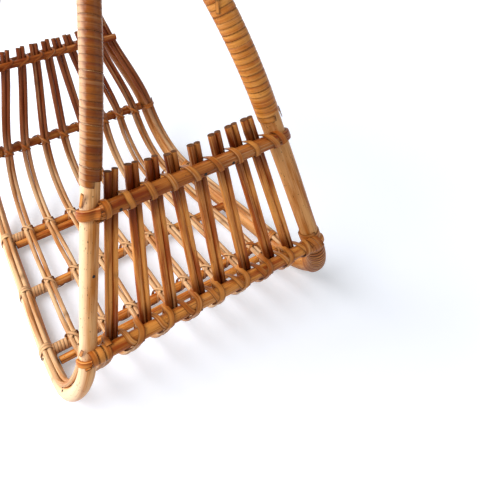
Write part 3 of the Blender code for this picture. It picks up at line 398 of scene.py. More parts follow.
# Near both edges of a strip the ring rises, which the finish turns into painted shade along the edges.
strip = store(graph, strip, "ring", (read(graph, "grain_side") / given["Width"] * 2.0).size() ** 6.0)
strip = finished(graph, strip, (90, 200, 200), given["Unevenness"])
end_tree(graph, strip, given["Finish"])
print("trees", cane_tree.name, "and", peel_tree.name)

# %% [markdown]
# A path object is the chain of edges with its data. One function makes it, hangs a tree on it,
# sets the tree's inputs, and turns the outcome into a plain mesh that rides on the holder. The
# holder's parts are measured from under the front bottom rail, so the mesh is moved onto the
# CAD model's origin here.

# %% From paths to pieces
HOLDER_PLACE = np.array((-0.00079, -0.20745, 0.0))
CHAMFER = 0.0005
PEEL_THICKNESS = 0.0009


def unit(vector):
    return vector / np.linalg.norm(vector)


def cane_strand(points, start=0.0):
    """A cane's path, with its edges rounded off where it is cut across."""
    points = [np.asarray(point, float) for point in points]
    for _ in range(2):
        inner = points[0] + unit(points[1] - points[0]) * CHAMFER
        points[0:1] = [points[0], points[0] + (inner - points[0]) * 0.3, inner]
        points.reverse()
    middle = len(points) - 6
    return {"points": points, "girth": [0.84, 0.95, 1.0] + [1.0] * middle + [1.0, 0.95, 0.84],
            "cut": [1.0, 0.6, 0.0] + [0.0] * middle + [0.0, 0.6, 1.0], "start": start}


def peel_strand(points, normals, start=0.0, taper=0.0):
    """A strip's path, which may taper over the last three points of both ends."""
    middle = len(points) - 2
    girths = [1.0] * len(points)
    for index in range(min(3, len(points))):
        share = 1 - taper * (3 - index) / 4
        girths[index], girths[-1 - index] = min(girths[index], share), min(girths[-1 - index], share)
    return {"points": list(points), "girth": girths, "cut": [1.0] + [0.0] * middle + [1.0],
            "face": list(normals), "start": start}


def stand_in(piece, nodes):
    """Let a piece ride on the holder, and stand it for the CAD nodes."""
    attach(piece, "root")
    if nodes:
        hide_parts(*nodes)
    return piece


def build_piece(name, strands, tree, finish, values, nodes):
    """Make a piece from paths."""
    points, edges, along = [], [], []
    for strand in strands:
        first = len(points)
        points += [tuple(point + HOLDER_PLACE) for point in strand["points"]]
        edges += [(index, index + 1) for index in range(first, len(points) - 1)]
        steps = np.linalg.norm(np.diff(np.array(strand["points"]), axis=0), axis=1)
        along += list(strand["start"] + np.concatenate(((0.0,), np.cumsum(steps))))
    mesh = bpy.data.meshes.new(name + "_path")
    mesh.from_pydata(points, edges, [])
    girths, cuts = (sum((strand[label] for strand in strands), []) for label in ("girth", "cut"))
    for label, numbers in (("along", along), ("girth", girths), ("cut", cuts)):
        mesh.attributes.new(label, "FLOAT", "POINT").data.foreach_set("value", numbers)
    if "face" in strands[0]:
        faces = np.array(sum((strand["face"] for strand in strands), [])).ravel()
        mesh.attributes.new("face", VECTOR, "POINT").data.foreach_set("vector", faces)
    path = in_scene(name + "_path", mesh)
    modifier = path.modifiers.new("shape", "NODES")
    modifier.node_group = tree
    identifiers = {item.name: item.identifier for item in tree.interface.items_tree if item.in_out == "INPUT"}
    for label, value in {**values, "Finish": finish}.items():
        modifier[identifiers[label]] = value
    evaluated = path.evaluated_get(bpy.context.evaluated_depsgraph_get())
    shape = bpy.data.meshes.new_from_object(evaluated)
    path.modifiers.remove(modifier)
    bpy.data.objects.remove(path)
    shape.name = name
    shape.materials.clear()
    shape.materials.append(finish)
    return stand_in(in_scene(name, shape), nodes)


def cane_piece(name, strands, radius, finish, nodes, sides=20, spacing=0.17, height=0.0004, width=0.0022,
               unevenness=0.00018):
    return build_piece(name, strands, cane_tree, finish, {
        "Radius": radius, "Sides": sides, "Joint Spacing": spacing, "Joint Width": width, "Joint Height": height,
        "Unevenness": unevenness}, nodes)


def peel_piece(name, strands, width, nodes=(), thickness=PEEL_THICKNESS, crown=0.0002, finish=PEEL):
    return build_piece(name, strands, peel_tree, finish, {
        "Width": width, "Thickness": thickness, "Crown": crown, "Unevenness": 0.00012}, nodes)


# %% [markdown]
# Each hoop is one pole bent into a closed ring. Seen from the side it climbs from the floor along
# a leaning pole, bends into the arm, turns over in the handle and comes down the back. The two
# rings lean together towards the top. Straight runs with rounded corners give the side view, and a
# smooth curve through measured half widths gives the lean.

# %% Sizes of the hoops
LEFT_RADIUS, RIGHT_RADIUS = 0.0090, 0.0106
RIB_RADIUS = 0.0031
BROAD_RADIUS, SLIM_RADIUS = 0.0038, 0.0031
FRONT_RAIL_RADIUS = 0.0075
SEAT_GAP = 0.0003
PAIR_GAP = -0.0001
FLOOR_FLAT = 0.0005
LOOK_AHEAD = 0.004
BOTTOM_RAIL_HEIGHT, TOP_RAIL_HEIGHT = 0.1133, 0.2526
TOP_HALF, BOTTOM_HALF = 0.1052, 0.1480
POLE_LEAN = math.radians(18.7)
SHOULDER_HEIGHT, APEX_DEPTH, HEEL_DEPTH, BACK_SHOULDER_HEIGHT = 0.3635, 0.2300, 0.3570, 0.3000
ARM_LEAN, BACK_LEAN = math.radians(38.7), math.radians(14.6)
APEX, FRONT_SHOULDER, FOOT, BACK_FOOT, BACK_SHOULDER = 0.1000, 0.4400, 0.0740, 0.1000, 0.1200
X_AXIS = np.array((1.0, 0.0, 0.0))
BEND_STEP = math.radians(2.5)
LONGEST_STEP = 0.008

# Where other pieces meet a hoop: the stretch to look along, as shares of the ring, whether depth (0)
# or height (1) is looked for, and its value.
POLE, GROUND, BACK = (0.05, 0.42), (0.35, 0.70), (0.60, 0.85)
PLACES = {
    "top_rail": (POLE, 1, TOP_RAIL_HEIGHT), "bottom_rail": (POLE, 1, BOTTOM_RAIL_HEIGHT),
    "toe_second": (GROUND, 0, 0.0685), "toe": (GROUND, 0, 0.0872), "floor": (GROUND, 0, 0.1822),
    "heel_second": (GROUND, 0, 0.2738), "heel": (GROUND, 0, 0.2884),
    "back_middle": (BACK, 1, 0.0975), "back_top": (BACK, 1, 0.2114)}


def rounded_corner(before, corner, after, radius):
    back, onward = unit(before - corner), unit(after - corner)
    half_angle = math.acos(float(np.clip(back @ onward, -1, 1))) / 2
    centre = corner + unit(back + onward) * radius / math.sin(half_angle)
    reach = radius / math.tan(half_angle)
    start, end = corner + back * reach - centre, corner + onward * reach - centre
    turn = math.atan2(start[0] * end[1] - start[1] * end[0], start @ end)
    pieces = 2 * math.ceil(max(abs(turn) / BEND_STEP, abs(turn) * radius / LONGEST_STEP) / 2)
    angles = [turn * index / pieces for index in range(pieces + 1)]
    return [centre + np.array((start[0] * math.cos(a) - start[1] * math.sin(a),
                               start[0] * math.sin(a) + start[1] * math.cos(a))) for a in angles]


def hoop_profile(cane_radius):
    """Depth and height along one hoop: handle, front arm, pole, foot, floor, back, handle."""
    floor_level = cane_radius - FLOOR_FLAT
    foot, shoulder = (np.array(((height - BOTTOM_RAIL_HEIGHT) * math.tan(POLE_LEAN), height))
                      for height in (floor_level, SHOULDER_HEIGHT))
    apex = np.array((APEX_DEPTH, SHOULDER_HEIGHT + (APEX_DEPTH - shoulder[0]) / math.tan(ARM_LEAN)))
    back_foot = np.array((HEEL_DEPTH, floor_level))
    back_rise = BACK_SHOULDER_HEIGHT - floor_level
    back_shoulder = np.array((HEEL_DEPTH + back_rise * math.tan(BACK_LEAN), BACK_SHOULDER_HEIGHT))
    corners = (apex, shoulder, foot, back_foot, back_shoulder)
    radii = (APEX, FRONT_SHOULDER, FOOT, BACK_FOOT, BACK_SHOULDER)
    arcs = [rounded_corner(corners[index - 1], corner, corners[(index + 1) % 5], radius)
            for index, (corner, radius) in enumerate(zip(corners, radii))]
    middle = len(arcs[0]) // 2
    runs = [arcs[0][middle:]] + arcs[1:] + [arcs[0][:middle + 1]]
    points = list(runs[0])
    for run in runs[1:]:
        start, end = points[-1], run[0]
        pieces = math.ceil(np.linalg.norm(end - start) / LONGEST_STEP)
        points += [start + (end - start) * step / pieces for step in range(1, pieces)]
        points += run
    return np.array(points)


class Hoop:
    """The centre line of one side hoop, with the places that the other pieces are set from."""

    def __init__(self, side, cane_radius):
        self.side, self.radius = side, cane_radius
        self.profile = hoop_profile(cane_radius)
        steps = np.linalg.norm(np.diff(self.profile, axis=0), axis=1)
        self.lengths = np.concatenate(((0.0,), np.cumsum(steps)))
        self.total = self.lengths[-1]
        for name, place in PLACES.items():
            setattr(self, name, self.place_at(*place))
        handle = (LEFT_RADIUS + RIGHT_RADIUS + SEAT_GAP) / 2
        stations = (
            (-0.03, handle), (0.0, handle), (0.03, handle), (self.place_at((0.02, 0.30), 1, 0.4020), 0.0525),
            (self.top_rail, TOP_HALF), (self.bottom_rail, BOTTOM_HALF), (self.place_at(GROUND, 0, 0.0300), 0.1775),
            (self.toe, 0.1755), (self.floor, 0.1660), (self.heel, 0.1545), (self.back_middle, 0.1325),
            (self.back_top, 0.0865), (self.back_top + 0.15, 0.0400), (self.total - 0.03, handle),
            (self.total, handle), (self.total + 0.03, handle))
        self.station_places, self.station_widths = (np.array(numbers) for numbers in zip(*stations))
        chord = np.diff(self.station_widths) / np.diff(self.station_places)
        slopes = [0.0 if a * b <= 0 else 2 * a * b / (a + b) for a, b in zip(chord, chord[1:])]
        self.station_slopes = np.array([0.0] + slopes + [0.0])

    def place_at(self, stretch, axis, value):
        places = np.linspace(self.total * stretch[0], self.total * stretch[1], 4001)
        there = np.interp(places, self.lengths, self.profile[:, axis])
        return float(places[np.argmin(np.abs(there - value))])

    def half_width(self, place):
        place = place % self.total
        last = len(self.station_places) - 2
        index = int(np.clip(np.searchsorted(self.station_places, place) - 1, 0, last))
        run = self.station_places[index + 1] - self.station_places[index]
        share = (place - self.station_places[index]) / run
        low, high = self.station_widths[index:index + 2]
        low_slope, high_slope = self.station_slopes[index:index + 2] * run
        return (low * (1 + 2 * share) * (1 - share) ** 2 + high * share ** 2 * (3 - 2 * share)
                + low_slope * share * (1 - share) ** 2 - high_slope * share ** 2 * (1 - share))

    def place_of_half_width(self, start, end, half_width):
        places = np.linspace(start, end, 2001)
        widths = np.array([self.half_width(place) for place in places])
        return float(places[np.argmin(np.abs(widths - half_width))])

    def depth_height(self, place):
        return np.array([np.interp(place % self.total, self.lengths, self.profile[:, axis]) for axis in (0, 1)])

    def point(self, place):
        return np.array((self.side * self.half_width(place), *self.depth_height(place)))

    def inward(self, place):
        """Unit normal towards the inside of the hoop."""
        depth, height = unit(self.depth_height(place + LOOK_AHEAD) - self.depth_height(place - LOOK_AHEAD))
        return np.array((0.0, -height, depth))

    def axis(self, place):
        return unit(self.point(place + LOOK_AHEAD) - self.point(place - LOOK_AHEAD))


LEFT, RIGHT = Hoop(-1, LEFT_RADIUS), Hoop(1, RIGHT_RADIUS)
HOOPS = {"left": LEFT, "right": RIGHT}
print("length of cane in a hoop:", round(LEFT.total, 3), "m")

# %% Side hoops
for (name, hoop), finish, start in zip(HOOPS.items(), (POLE_CANE, DEEP_POLE_CANE), (0.11, 0.43)):
    places = np.linspace(0.0003, hoop.total - 0.0003, 300)
    strand = cane_strand([hoop.point(place) for place in places], start)
    piece = cane_piece(f"{name}_hoop", [strand], hoop.radius, finish, [f"{name}_frame_cane"], 36,
                       spacing=0.29, width=0.003, unevenness=0.0003)
    for vertex in piece.data.vertices:
        vertex.co.z = max(vertex.co.z, 0.0)
    print(piece.name, len(piece.data.vertices), "points")

# %% [markdown]
# The ribs come in pairs. Each pair starts behind the front bottom rail, runs along the floor over
# the cross rails, bends up at the heel and climbs the back, and the pairs draw together towards the
# top because the hoops do. The outermost pairs lie against the hoops. A rib's place across the
# holder is a share of the half width, read at four stations. Between the floor's rails the two ribs
# of a pair part a little.

# %% Ribs
TOE_SHARES = (-1.0, -0.800, -0.570, -0.333, -0.085, 0.132, 0.338, 0.553, 0.772, 1.0)
MIDDLE_SHARES = (-1.0, -0.775, -0.582, -0.352, -0.124, 0.122, 0.384, 0.588, 0.788, 1.0)
TOP_SHARES = (-1.0, -0.798, -0.530, -0.300, -0.095, 0.097, 0.302, 0.530, 0.765, 1.0)
RAIL_OFFSET = 0.0100
PARTED_UP_THE_BACK = 7
PAST_THE_TOP_RAIL = 0.0175
SINKING_LENGTH = 0.06


def matching_place(place):
    here, there = ([0.0] + [getattr(hoop, name) for name in PLACES] + [hoop.total] for hoop in (LEFT, RIGHT))
    return float(np.interp(place, here, there))


def bed_point(place, share, lift=0.0):
    """A point on the bed that the ribs' centres follow."""
    seat = RIB_RADIUS + SEAT_GAP + lift
    left_end, right_end = (hoop.point(at) + hoop.inward(at) * (hoop.radius + seat)
                           for hoop, at in ((LEFT, place), (RIGHT, matching_place(place))))
    return left_end + (right_end - left_end) * (share + 1) / 2


def rib_share(number, place):
    stations = (LEFT.bottom_rail, LEFT.floor, LEFT.back_middle, LEFT.back_top)
    shares = [table[number] for table in (TOE_SHARES, TOE_SHARES, MIDDLE_SHARES, TOP_SHARES)]
    return float(np.interp(place, stations, shares))


def rib_centre(number, place):
    """Behind the front rail the inner pairs leave the bed, because they lie against the slats there."""
    bed = bed_point(place, rib_share(number, place))
    if number in (0, 9):
        return bed
    seat = (LEFT.radius + RIGHT.radius) / 2 + RIB_RADIUS + SEAT_GAP
    slat_back = (FRONT_RAIL_RADIUS - RAIL_OFFSET) + 2 * BROAD_RADIUS + 2 * SEAT_GAP
    share = np.clip((LEFT.bottom_rail + SINKING_LENGTH - place) / SINKING_LENGTH, 0, 1)
    return bed - LEFT.inward(place) * (seat - slat_back - RIB_RADIUS) * share


def rib_slope(number, place):
    run = rib_centre(number, place + RIB_RADIUS) - rib_centre(number, place - RIB_RADIUS)
    return run[0] / math.hypot(run[1], run[2])


def rib_spread(number, place):
    """Half the distance between the two ribs of a pair."""
    on_rail = min(abs(place - getattr(LEFT, name)) for name in list(PLACES)[1:])
    parts = number == PARTED_UP_THE_BACK or place < LEFT.heel
    parted = (0.0002 + 0.0002 * (number % 3)) * min(on_rail / 0.03, 1.0) ** 2 if parts else 0.0
    return (RIB_RADIUS + PAIR_GAP / 2 + parted) * math.hypot(1, rib_slope(number, place))


rng = np.random.default_rng(7)
for number in range(10):
    strands = []
    for hand in (-1, 1):
        top = LEFT.back_top + PAST_THE_TOP_RAIL + rng.uniform(-0.0015, 0.0015)
        (phase, _), sway = rng.uniform(0, 6.28, 2), rng.uniform(0.1, 0.35) / 1000
        points = [rib_centre(number, place) + X_AXIS * (
                      rib_spread(number, place) * hand + sway * math.sin(phase + index * 0.16))
                  for index, place in enumerate(np.linspace(LEFT.bottom_rail - 0.005, top, 90))]
        strands.append(cane_strand(points, rng.uniform(0, 9)))
    label = f"{number + 1:02d}"
    cane_piece(f"rib_pair_{label}", strands, RIB_RADIUS, RIB_CANE,
               [f"rib_{label}_left", f"rib_{label}_right"], 16, spacing=0.23, height=0.00025, width=0.0016)
print("10 pairs of ribs, each over", round(LEFT.back_top - LEFT.bottom_rail, 3), "m of the hoop")

# %% [markdown]
# Under the ribs, round rails run from hoop to hoop: two at the toe, one under the middle of the
# floor, two at the heel and two up the back. At the top of the back a thinner rail lies on the
# camera's side of the ribs too, so that they are held between two canes.

# %% Cross rails
TOE_RADIUS, SECOND_RADIUS, OUTER_RADIUS, INNER_RADIUS = 0.0060, 0.0052, 0.0050, 0.0045


def rail_end(hoop, place, rail_radius):
    slope = abs(hoop.half_width(place + hoop.radius) - hoop.half_width(place - hoop.radius)) / (2 * hoop.radius)
    return hoop.radius * math.hypot(1, slope) + rail_radius * slope + SEAT_GAP


def cross_rail(node, start, end, radius, grain_start, sides, spacing):
    strand = cane_strand([start + (end - start) * share for share in np.linspace(0, 1, 40)], grain_start)
    cane_piece(f"{node}_cane", [strand], radius, RAIL_CANE, [node], sides, spacing=spacing)


for node, place_name, radius in (
        ("toe_rail", "toe", TOE_RADIUS), ("toe_second_rail", "toe_second", SECOND_RADIUS),
        ("floor_rail", "floor", TOE_RADIUS), ("heel_rail", "heel", TOE_RADIUS),
        ("heel_second_rail", "heel_second", SECOND_RADIUS), ("back_middle_rail", "back_middle", TOE_RADIUS),
        ("back_top_outer_rail", "back_top", OUTER_RADIUS)):
    place = getattr(LEFT, place_name)
    lift = -(RIB_RADIUS + radius + SEAT_GAP)
    start = bed_point(place, -1.0, lift) + X_AXIS * rail_end(LEFT, place, radius)
    end = bed_point(place, 1.0, lift) - X_AXIS * rail_end(RIGHT, matching_place(place), radius)
    cross_rail(node, start, end, radius, rng.uniform(0, 9), 24, 0.16)
inner_lift = RIB_RADIUS + INNER_RADIUS + SEAT_GAP
ends = [bed_point(LEFT.back_top, side, inner_lift) + X_AXIS * side * 2 * RIB_RADIUS for side in (-1.0, 1.0)]
cross_rail("back_top_inner_rail", *ends, INNER_RADIUS, 3.0, 20, 0.14)
print("8 cross rails")

# %% [markdown]
# The front panel has eight pairs of slats, a thick one with a thin one to its right. They stand
# behind the two front rails and stop, sawn straight across, a little above the upper one. The front
# rails are round canes whose ends are pared to straps and bent round the poles, so their section
# changes along the way. A tree with a fixed section can't do that, so their skin is lofted in
# Python, section by section.

# %% Slats
POLE_UP = np.array((0.0, math.sin(POLE_LEAN), math.cos(POLE_LEAN)))
PANEL_FORWARD = np.array((0.0, -math.cos(POLE_LEAN), math.sin(POLE_LEAN)))
RAIL_MIDDLE = np.array((0.0, 0.0, BOTTOM_RAIL_HEIGHT))
PANEL_HEIGHT = (TOP_RAIL_HEIGHT - BOTTOM_RAIL_HEIGHT) / math.cos(POLE_LEAN)
SLAT_FEET = (-0.820, -0.547, -0.328, -0.089, 0.101, 0.339, 0.571, 0.768)
SLAT_HEADS = (-0.795, -0.575, -0.365, -0.155, 0.092, 0.337, 0.547, 0.745)
SLAT_TOPS = (0.0278, 0.0273, 0.0249, 0.0225, 0.0227, 0.0249, 0.0266, 0.0276)
PAIR_HALF = BROAD_RADIUS + SLIM_RADIUS + PAIR_GAP / 2


def panel_point(x, rise, forward):
    return RAIL_MIDDLE + X_AXIS * x + POLE_UP * rise + PANEL_FORWARD * forward


def slat_x(number, rise):
    foot, head = SLAT_FEET[number] * BOTTOM_HALF, SLAT_HEADS[number] * TOP_HALF
    return foot + (head - foot) * rise / PANEL_HEIGHT


rail_back = RAIL_OFFSET - FRONT_RAIL_RADIUS - SEAT_GAP
for number in range(8):
    for kind, radius, shift in (("broad", BROAD_RADIUS, BROAD_RADIUS - PAIR_HALF),
                                ("slim", SLIM_RADIUS, PAIR_HALF - SLIM_RADIUS)):
        top = PANEL_HEIGHT + SLAT_TOPS[number] + (rng.uniform(0.0, 0.0012) if kind == "slim" else 0.0)
        bow = rng.uniform(-0.0004, 0.0004)
        points = [panel_point(slat_x(number, rise) + shift + bow * math.sin(math.pi * rise / top), rise,
                              rail_back - radius) for rise in np.linspace(-0.006, top, 40)]
        node = f"slat_{number + 1}_{kind}"
        cane_piece(f"{node}_cane", [cane_strand(points, rng.uniform(0, 9))], radius, SLAT_CANE, [node],
                   spacing=0.19, height=0.0003, width=0.0018)
print("16 slats up to", round(max(SLAT_TOPS) * 1000, 1), "mm over the top rail")

# %% Front rails with pared ends
STRAP_THICKNESS = 0.0034
STRAP_TURN = math.radians(105)
ROUND, PARED, STRAP = 1.0, 0.7, 0.5
LOFT_SIDES = 28
LOFT_STEP = 0.004
STRAIGHT_FROM = 8


def rail_end_sections(side, hoop, rise, half_width, strap_half_height, drop):
    """One end's sections outwards: centre, half thickness, half height and how round they are."""
    pole_axis = -hoop.axis(hoop.top_rail if rise > 0 else hoop.bottom_rail)
    pole = panel_point(side * half_width, rise, 0.0)
    widening = 1 / math.sqrt(1 - pole_axis[0] ** 2)
    reach = hoop.radius + SEAT_GAP
    rail_front = RAIL_OFFSET + FRONT_RAIL_RADIUS
    pared = [(reach * widening + FRONT_RAIL_RADIUS * more, RAIL_OFFSET, FRONT_RAIL_RADIUS, FRONT_RAIL_RADIUS, ROUND)
             for more in (1.0, 0.5)]
    for share in (0.80, 0.35):
        back = reach * math.sqrt(1 - share ** 2) + SEAT_GAP
        front = rail_front + (reach + STRAP_THICKNESS - rail_front) * (1 - share) ** 2
        half_height = strap_half_height + (FRONT_RAIL_RADIUS - strap_half_height) * share
        pared.append((reach * widening * share, (front + back) / 2, (front - back) / 2, half_height, PARED))
    sections = [(pole - X_AXIS * side * inward + PANEL_FORWARD * ahead, PANEL_FORWARD * thick, pole_axis * high, power)
                for inward, ahead, thick, high, power in pared]
    middle = reach + STRAP_THICKNESS / 2
    for step in range(6):
        angle = STRAP_TURN * step / 5
        sideways, ahead = X_AXIS * side * math.sin(angle), PANEL_FORWARD * math.cos(angle)
        normal = unit(sideways / widening + ahead)
        narrow = 1.0 - 0.35 * max(0, step - 3) / 2
        sections.append((pole + (sideways * widening + ahead) * middle - pole_axis * drop,
                         normal * STRAP_THICKNESS / 2, pole_axis * strap_half_height * narrow, STRAP))
    return sections


def smoothed(sections):
    """More sections, on a curve through the given ones, and evenly spaced where they lie far apart."""
    fine = []
    for index, (here, there) in enumerate(zip(sections, sections[1:])):
        four = (sections[max(index - 1, 0)], here, there, sections[min(index + 2, len(sections) - 1)])
        pieces = max(3, int(np.linalg.norm(there[0] - here[0]) / LOFT_STEP))
        for step in range(pieces):
            t = step / pieces
            weights = (-t / 2 + t * t - t ** 3 / 2, 1 - 2.5 * t * t + 1.5 * t ** 3,
                       t / 2 + 2 * t * t - 1.5 * t ** 3, (t ** 3 - t * t) / 2)
            if pieces > STRAIGHT_FROM:
                weights = (0, 1 - t, t, 0)
            fine.append([sum(weight * part[field] for weight, part in zip(weights, four)) for field in range(4)])
    return fine + [list(sections[-1])]


def front_rail(node, rise, half_width, strap_half_height, drop=0.0):
    """A round rail whose ends are pared to straps and bent round the poles."""
    left = rail_end_sections(-1, LEFT, rise, half_width, strap_half_height, drop)
    right = rail_end_sections(1, RIGHT, rise, half_width, strap_half_height, 0.0)
    fine = smoothed(left[::-1] + right)
    rings, grain, cut, faces = [], [], [], []
    along = 0.0
    for index, (centre, thick, high, power) in enumerate(fine):
        along += 0.0 if index == 0 else float(np.linalg.norm(centre - fine[index - 1][0]))
        for corner in range(LOFT_SIDES):
            angle = 2 * math.pi * corner / LOFT_SIDES
            cosine, sine = math.cos(angle), math.sin(angle)
            across, up = (math.copysign(abs(part) ** power, part) for part in (cosine, sine))
            rings.append(tuple(centre + thick * across - high * up + HOLDER_PLACE))
            grain.append((along, FRONT_RAIL_RADIUS * cosine, FRONT_RAIL_RADIUS * sine))
            cut.append(1.0 if index in (0, len(fine) - 1) else 0.0)
            if index:
                here, there = ((index - 1) * LOFT_SIDES + side for side in (corner, (corner + 1) % LOFT_SIDES))
                faces.append((here, there, there + LOFT_SIDES, here + LOFT_SIDES))
    faces += [tuple(range(LOFT_SIDES))[::-1], tuple(range(len(rings) - LOFT_SIDES, len(rings)))]
    mesh = bpy.data.meshes.new(f"{node}_cane")
    mesh.from_pydata(rings, [], faces)
    mesh.attributes.new("grain", VECTOR, "POINT").data.foreach_set("vector", np.array(grain).ravel())
    mesh.attributes.new("cut", "FLOAT", "POINT").data.foreach_set("value", cut)
    mesh.attributes.new("ring", "FLOAT", "POINT")
    mesh.shade_smooth()
    mesh.materials.append(RAIL_CANE)
    stand_in(in_scene(f"{node}_cane", mesh), [node])


front_rail("front_top_rail", PANEL_HEIGHT, TOP_HALF, 0.0052)
front_rail("front_bottom_rail", 0.0, BOTTOM_HALF, 0.0036, drop=0.0045)
print("2 front rails with pared ends")

# %% [markdown]
# Rattan peel is the vine's outer skin, split into flat ribbons. Wet, it bends round anything, and
# dry, it grips. Here each rail has a ribbon that passes over a pair of canes, dives beside it, goes
# round the rail and comes up at the next pair. On most rails a second ribbon runs the other way, so
# that they cross. The path is a few corners for each pair, softened by cutting the corners off
# again and again, which keeps the ribbon just outside the cane.

# %% Lashings
LASHING_GAP = 0.00015
BESIDE_A_PAIR, BESIDE_A_SLAT = 0.0011, 0.0022
WIDE_PITCH, NARROW_PITCH = 0.0075, 0.0043
HALF_SIDE = math.pi / 8  # half the angle that one side of an octagon spans


def softened(points, normals, rounds=3):
    """Cut the corners of a path again and again, and turn the faces with it."""
    def cut_corners(rows):
        near, far = rows[:-1] * 0.75 + rows[1:] * 0.25, rows[:-1] * 0.25 + rows[1:] * 0.75
        return np.concatenate([rows[:1], np.stack((near, far), 1).reshape(-1, 3), rows[-1:]])

    points, normals = np.array(points), np.array(normals)
    for _ in range(rounds):
        points, normals = cut_corners(points), cut_corners(normals)
    return list(points), [unit(normal) for normal in normals]


def turn_radius(radius, gap):
    """How far out an octagon's corners lie, for a ribbon round a cane of this radius."""
    return (radius + gap) / math.cos(HALF_SIDE) + PEEL_THICKNESS / 2


def lashing_route(crossings, along, outward, rail_radius, over_level, upper_radius=0.0, extra=0.0,
                  spread=BESIDE_A_PAIR, front=(0.33, 0.67), first_turns=0, last_turns=0, pitch=WIDE_PITCH):
    """Corners and faces of a ribbon with one turn round the rail for each pair of canes."""
    radius = turn_radius(max(rail_radius, upper_radius), LASHING_GAP + extra)
    flat, edge = radius * math.cos(HALF_SIDE), radius * math.sin(HALF_SIDE)
    octagon = ((-flat, -edge), (-flat, edge), (-edge, flat), (edge, flat),
               (flat, edge), (flat, -edge), (edge, -flat), (-edge, -flat))
    lies_flat = not upper_radius
    climb, over_reach = (edge, flat * 0.7) if lies_flat else (over_level - flat + edge, edge)
    points, normals = [], []

    def add(across, ahead, level_up, normal=None, slope=None):
        slope = pair_slope if slope is None else slope
        points.append(centre + along * ahead + outward * level_up + X_AXIS * (across + slope * ahead))
        normals.append(unit(along * ahead + outward * level_up) if normal is None else normal)

    def bare_turns(start, end, count):
        for index in range(8 * count):
            add(start + (end - start) * index / (8 * count), *octagon[index % 8])

    for index, (centre, pair_slope, left, right) in enumerate(crossings):
        low, high = left - spread, right + spread
        if index == 0:
            bare_turns(low - pitch * first_turns, low, first_turns)
        for corner in ((low, -flat, -edge), (low, -flat, climb, None if lies_flat else -along),
                       (left * 0.85, -over_reach, over_level + extra, outward),
                       (right * 0.85, over_reach, over_level + extra, outward),
                       (high, flat, climb, None if lies_flat else along), (high, flat, -edge)):
            add(*corner)
        if index < len(crossings) - 1:
            onward, onward_slope, onward_left, _ = crossings[index + 1]
            start = high + pair_slope * flat
            bay = onward[0] - centre[0] + onward_left - spread - onward_slope * flat - start
            add(start + bay * front[0] - pair_slope * edge, edge, -flat, slope=0.0)
            add(start + bay * front[1] + pair_slope * edge, -edge, -flat, slope=0.0)
        else:
            add(high + pitch / 3, edge, -flat)
            add(high + pitch * 2 / 3, -edge, -flat)
            bare_turns(high + pitch, high + pitch * (1 + last_turns), last_turns)
    return points, normals


def mirrored(crossings):
    """The same crossings for a ribbon that runs the other way round the rail."""
    return [(centre, -slope, left, right) for centre, slope, left, right in crossings]


def front_crossings(rise, with_ribs):
    crossings = []
    for number in range(8):
        x = slat_x(number, rise)
        slope = (slat_x(number, rise + RIB_RADIUS) - x) / RIB_RADIUS
        left, right = -PAIR_HALF, PAIR_HALF
        if with_ribs:
            rib_x = rib_centre(number + 1, LEFT.bottom_rail)[0] - x
            left, right = min(left, rib_x - RIB_PAIR_HALF), max(right, rib_x + RIB_PAIR_HALF)
        crossings.append((panel_point(x, rise, RAIL_OFFSET), slope, left, right))
    return crossings


def lashing_pieces(node, routes, width):
    strands = [peel_strand(*softened(*route), start=3.1 * index) for index, route in enumerate(routes)]
    peel_piece(f"{node}_peel", strands, width, [node])


RIB_PAIR_HALF = 2 * RIB_RADIUS + PAIR_GAP / 2
top_level = FRONT_RAIL_RADIUS + 2 * BROAD_RADIUS + 2 * LASHING_GAP + PEEL_THICKNESS
bottom_level = top_level + 2 * RIB_RADIUS + 2 * LASHING_GAP
lashing_pieces("front_top_lashing", [
    lashing_route(front_crossings(PANEL_HEIGHT, False), POLE_UP, -PANEL_FORWARD, FRONT_RAIL_RADIUS, top_level,
                  spread=BESIDE_A_SLAT, first_turns=1, last_turns=1)], 0.0068)
bottom = front_crossings(0.0, True)
lashing_pieces("front_bottom_lashing", [
    lashing_route(bottom, POLE_UP, -PANEL_FORWARD, FRONT_RAIL_RADIUS, bottom_level,
                  spread=BESIDE_A_SLAT, front=(0.12, 0.42), first_turns=3, last_turns=2),
    lashing_route(mirrored(bottom), -POLE_UP, -PANEL_FORWARD, FRONT_RAIL_RADIUS, bottom_level,
                  extra=PEEL_THICKNESS, spread=BESIDE_A_SLAT, front=(0.58, 0.88), last_turns=1)], 0.0070)

for place_name, node, radius, upper, turns in (
        ("toe", "toe_rail_lashing", TOE_RADIUS, 0.0, 7), ("floor", "floor_rail_lashing", TOE_RADIUS, 0.0, 6),
        ("heel", "heel_rail_lashing", TOE_RADIUS, 0.0, 5), ("back_middle", "back_middle_lashing", TOE_RADIUS, 0.0, 3),
        ("back_top", "back_top_lashing", OUTER_RADIUS, INNER_RADIUS, 0)):
    place = getattr(LEFT, place_name)
    outward = unit(LEFT.inward(place))
    along_bed = unit(np.cross(outward, X_AXIS))
    lift = -(RIB_RADIUS + radius + SEAT_GAP)
    crossings = [(bed_point(place, rib_share(number, place), lift), rib_slope(number, place),
                  -RIB_PAIR_HALF, RIB_PAIR_HALF) for number in range(1, 9)]
    over = radius + 2 * (RIB_RADIUS + upper + LASHING_GAP) + PEEL_THICKNESS
    routes = [lashing_route(crossings, along_bed, outward, radius, over, upper, first_turns=turns, pitch=NARROW_PITCH)]
    if not upper:
        routes.append(lashing_route(mirrored(crossings), -along_bed, outward, radius, over, extra=PEEL_THICKNESS))
    lashing_pieces(node, routes, 0.0034 if upper else 0.0042)
print("7 lashings")

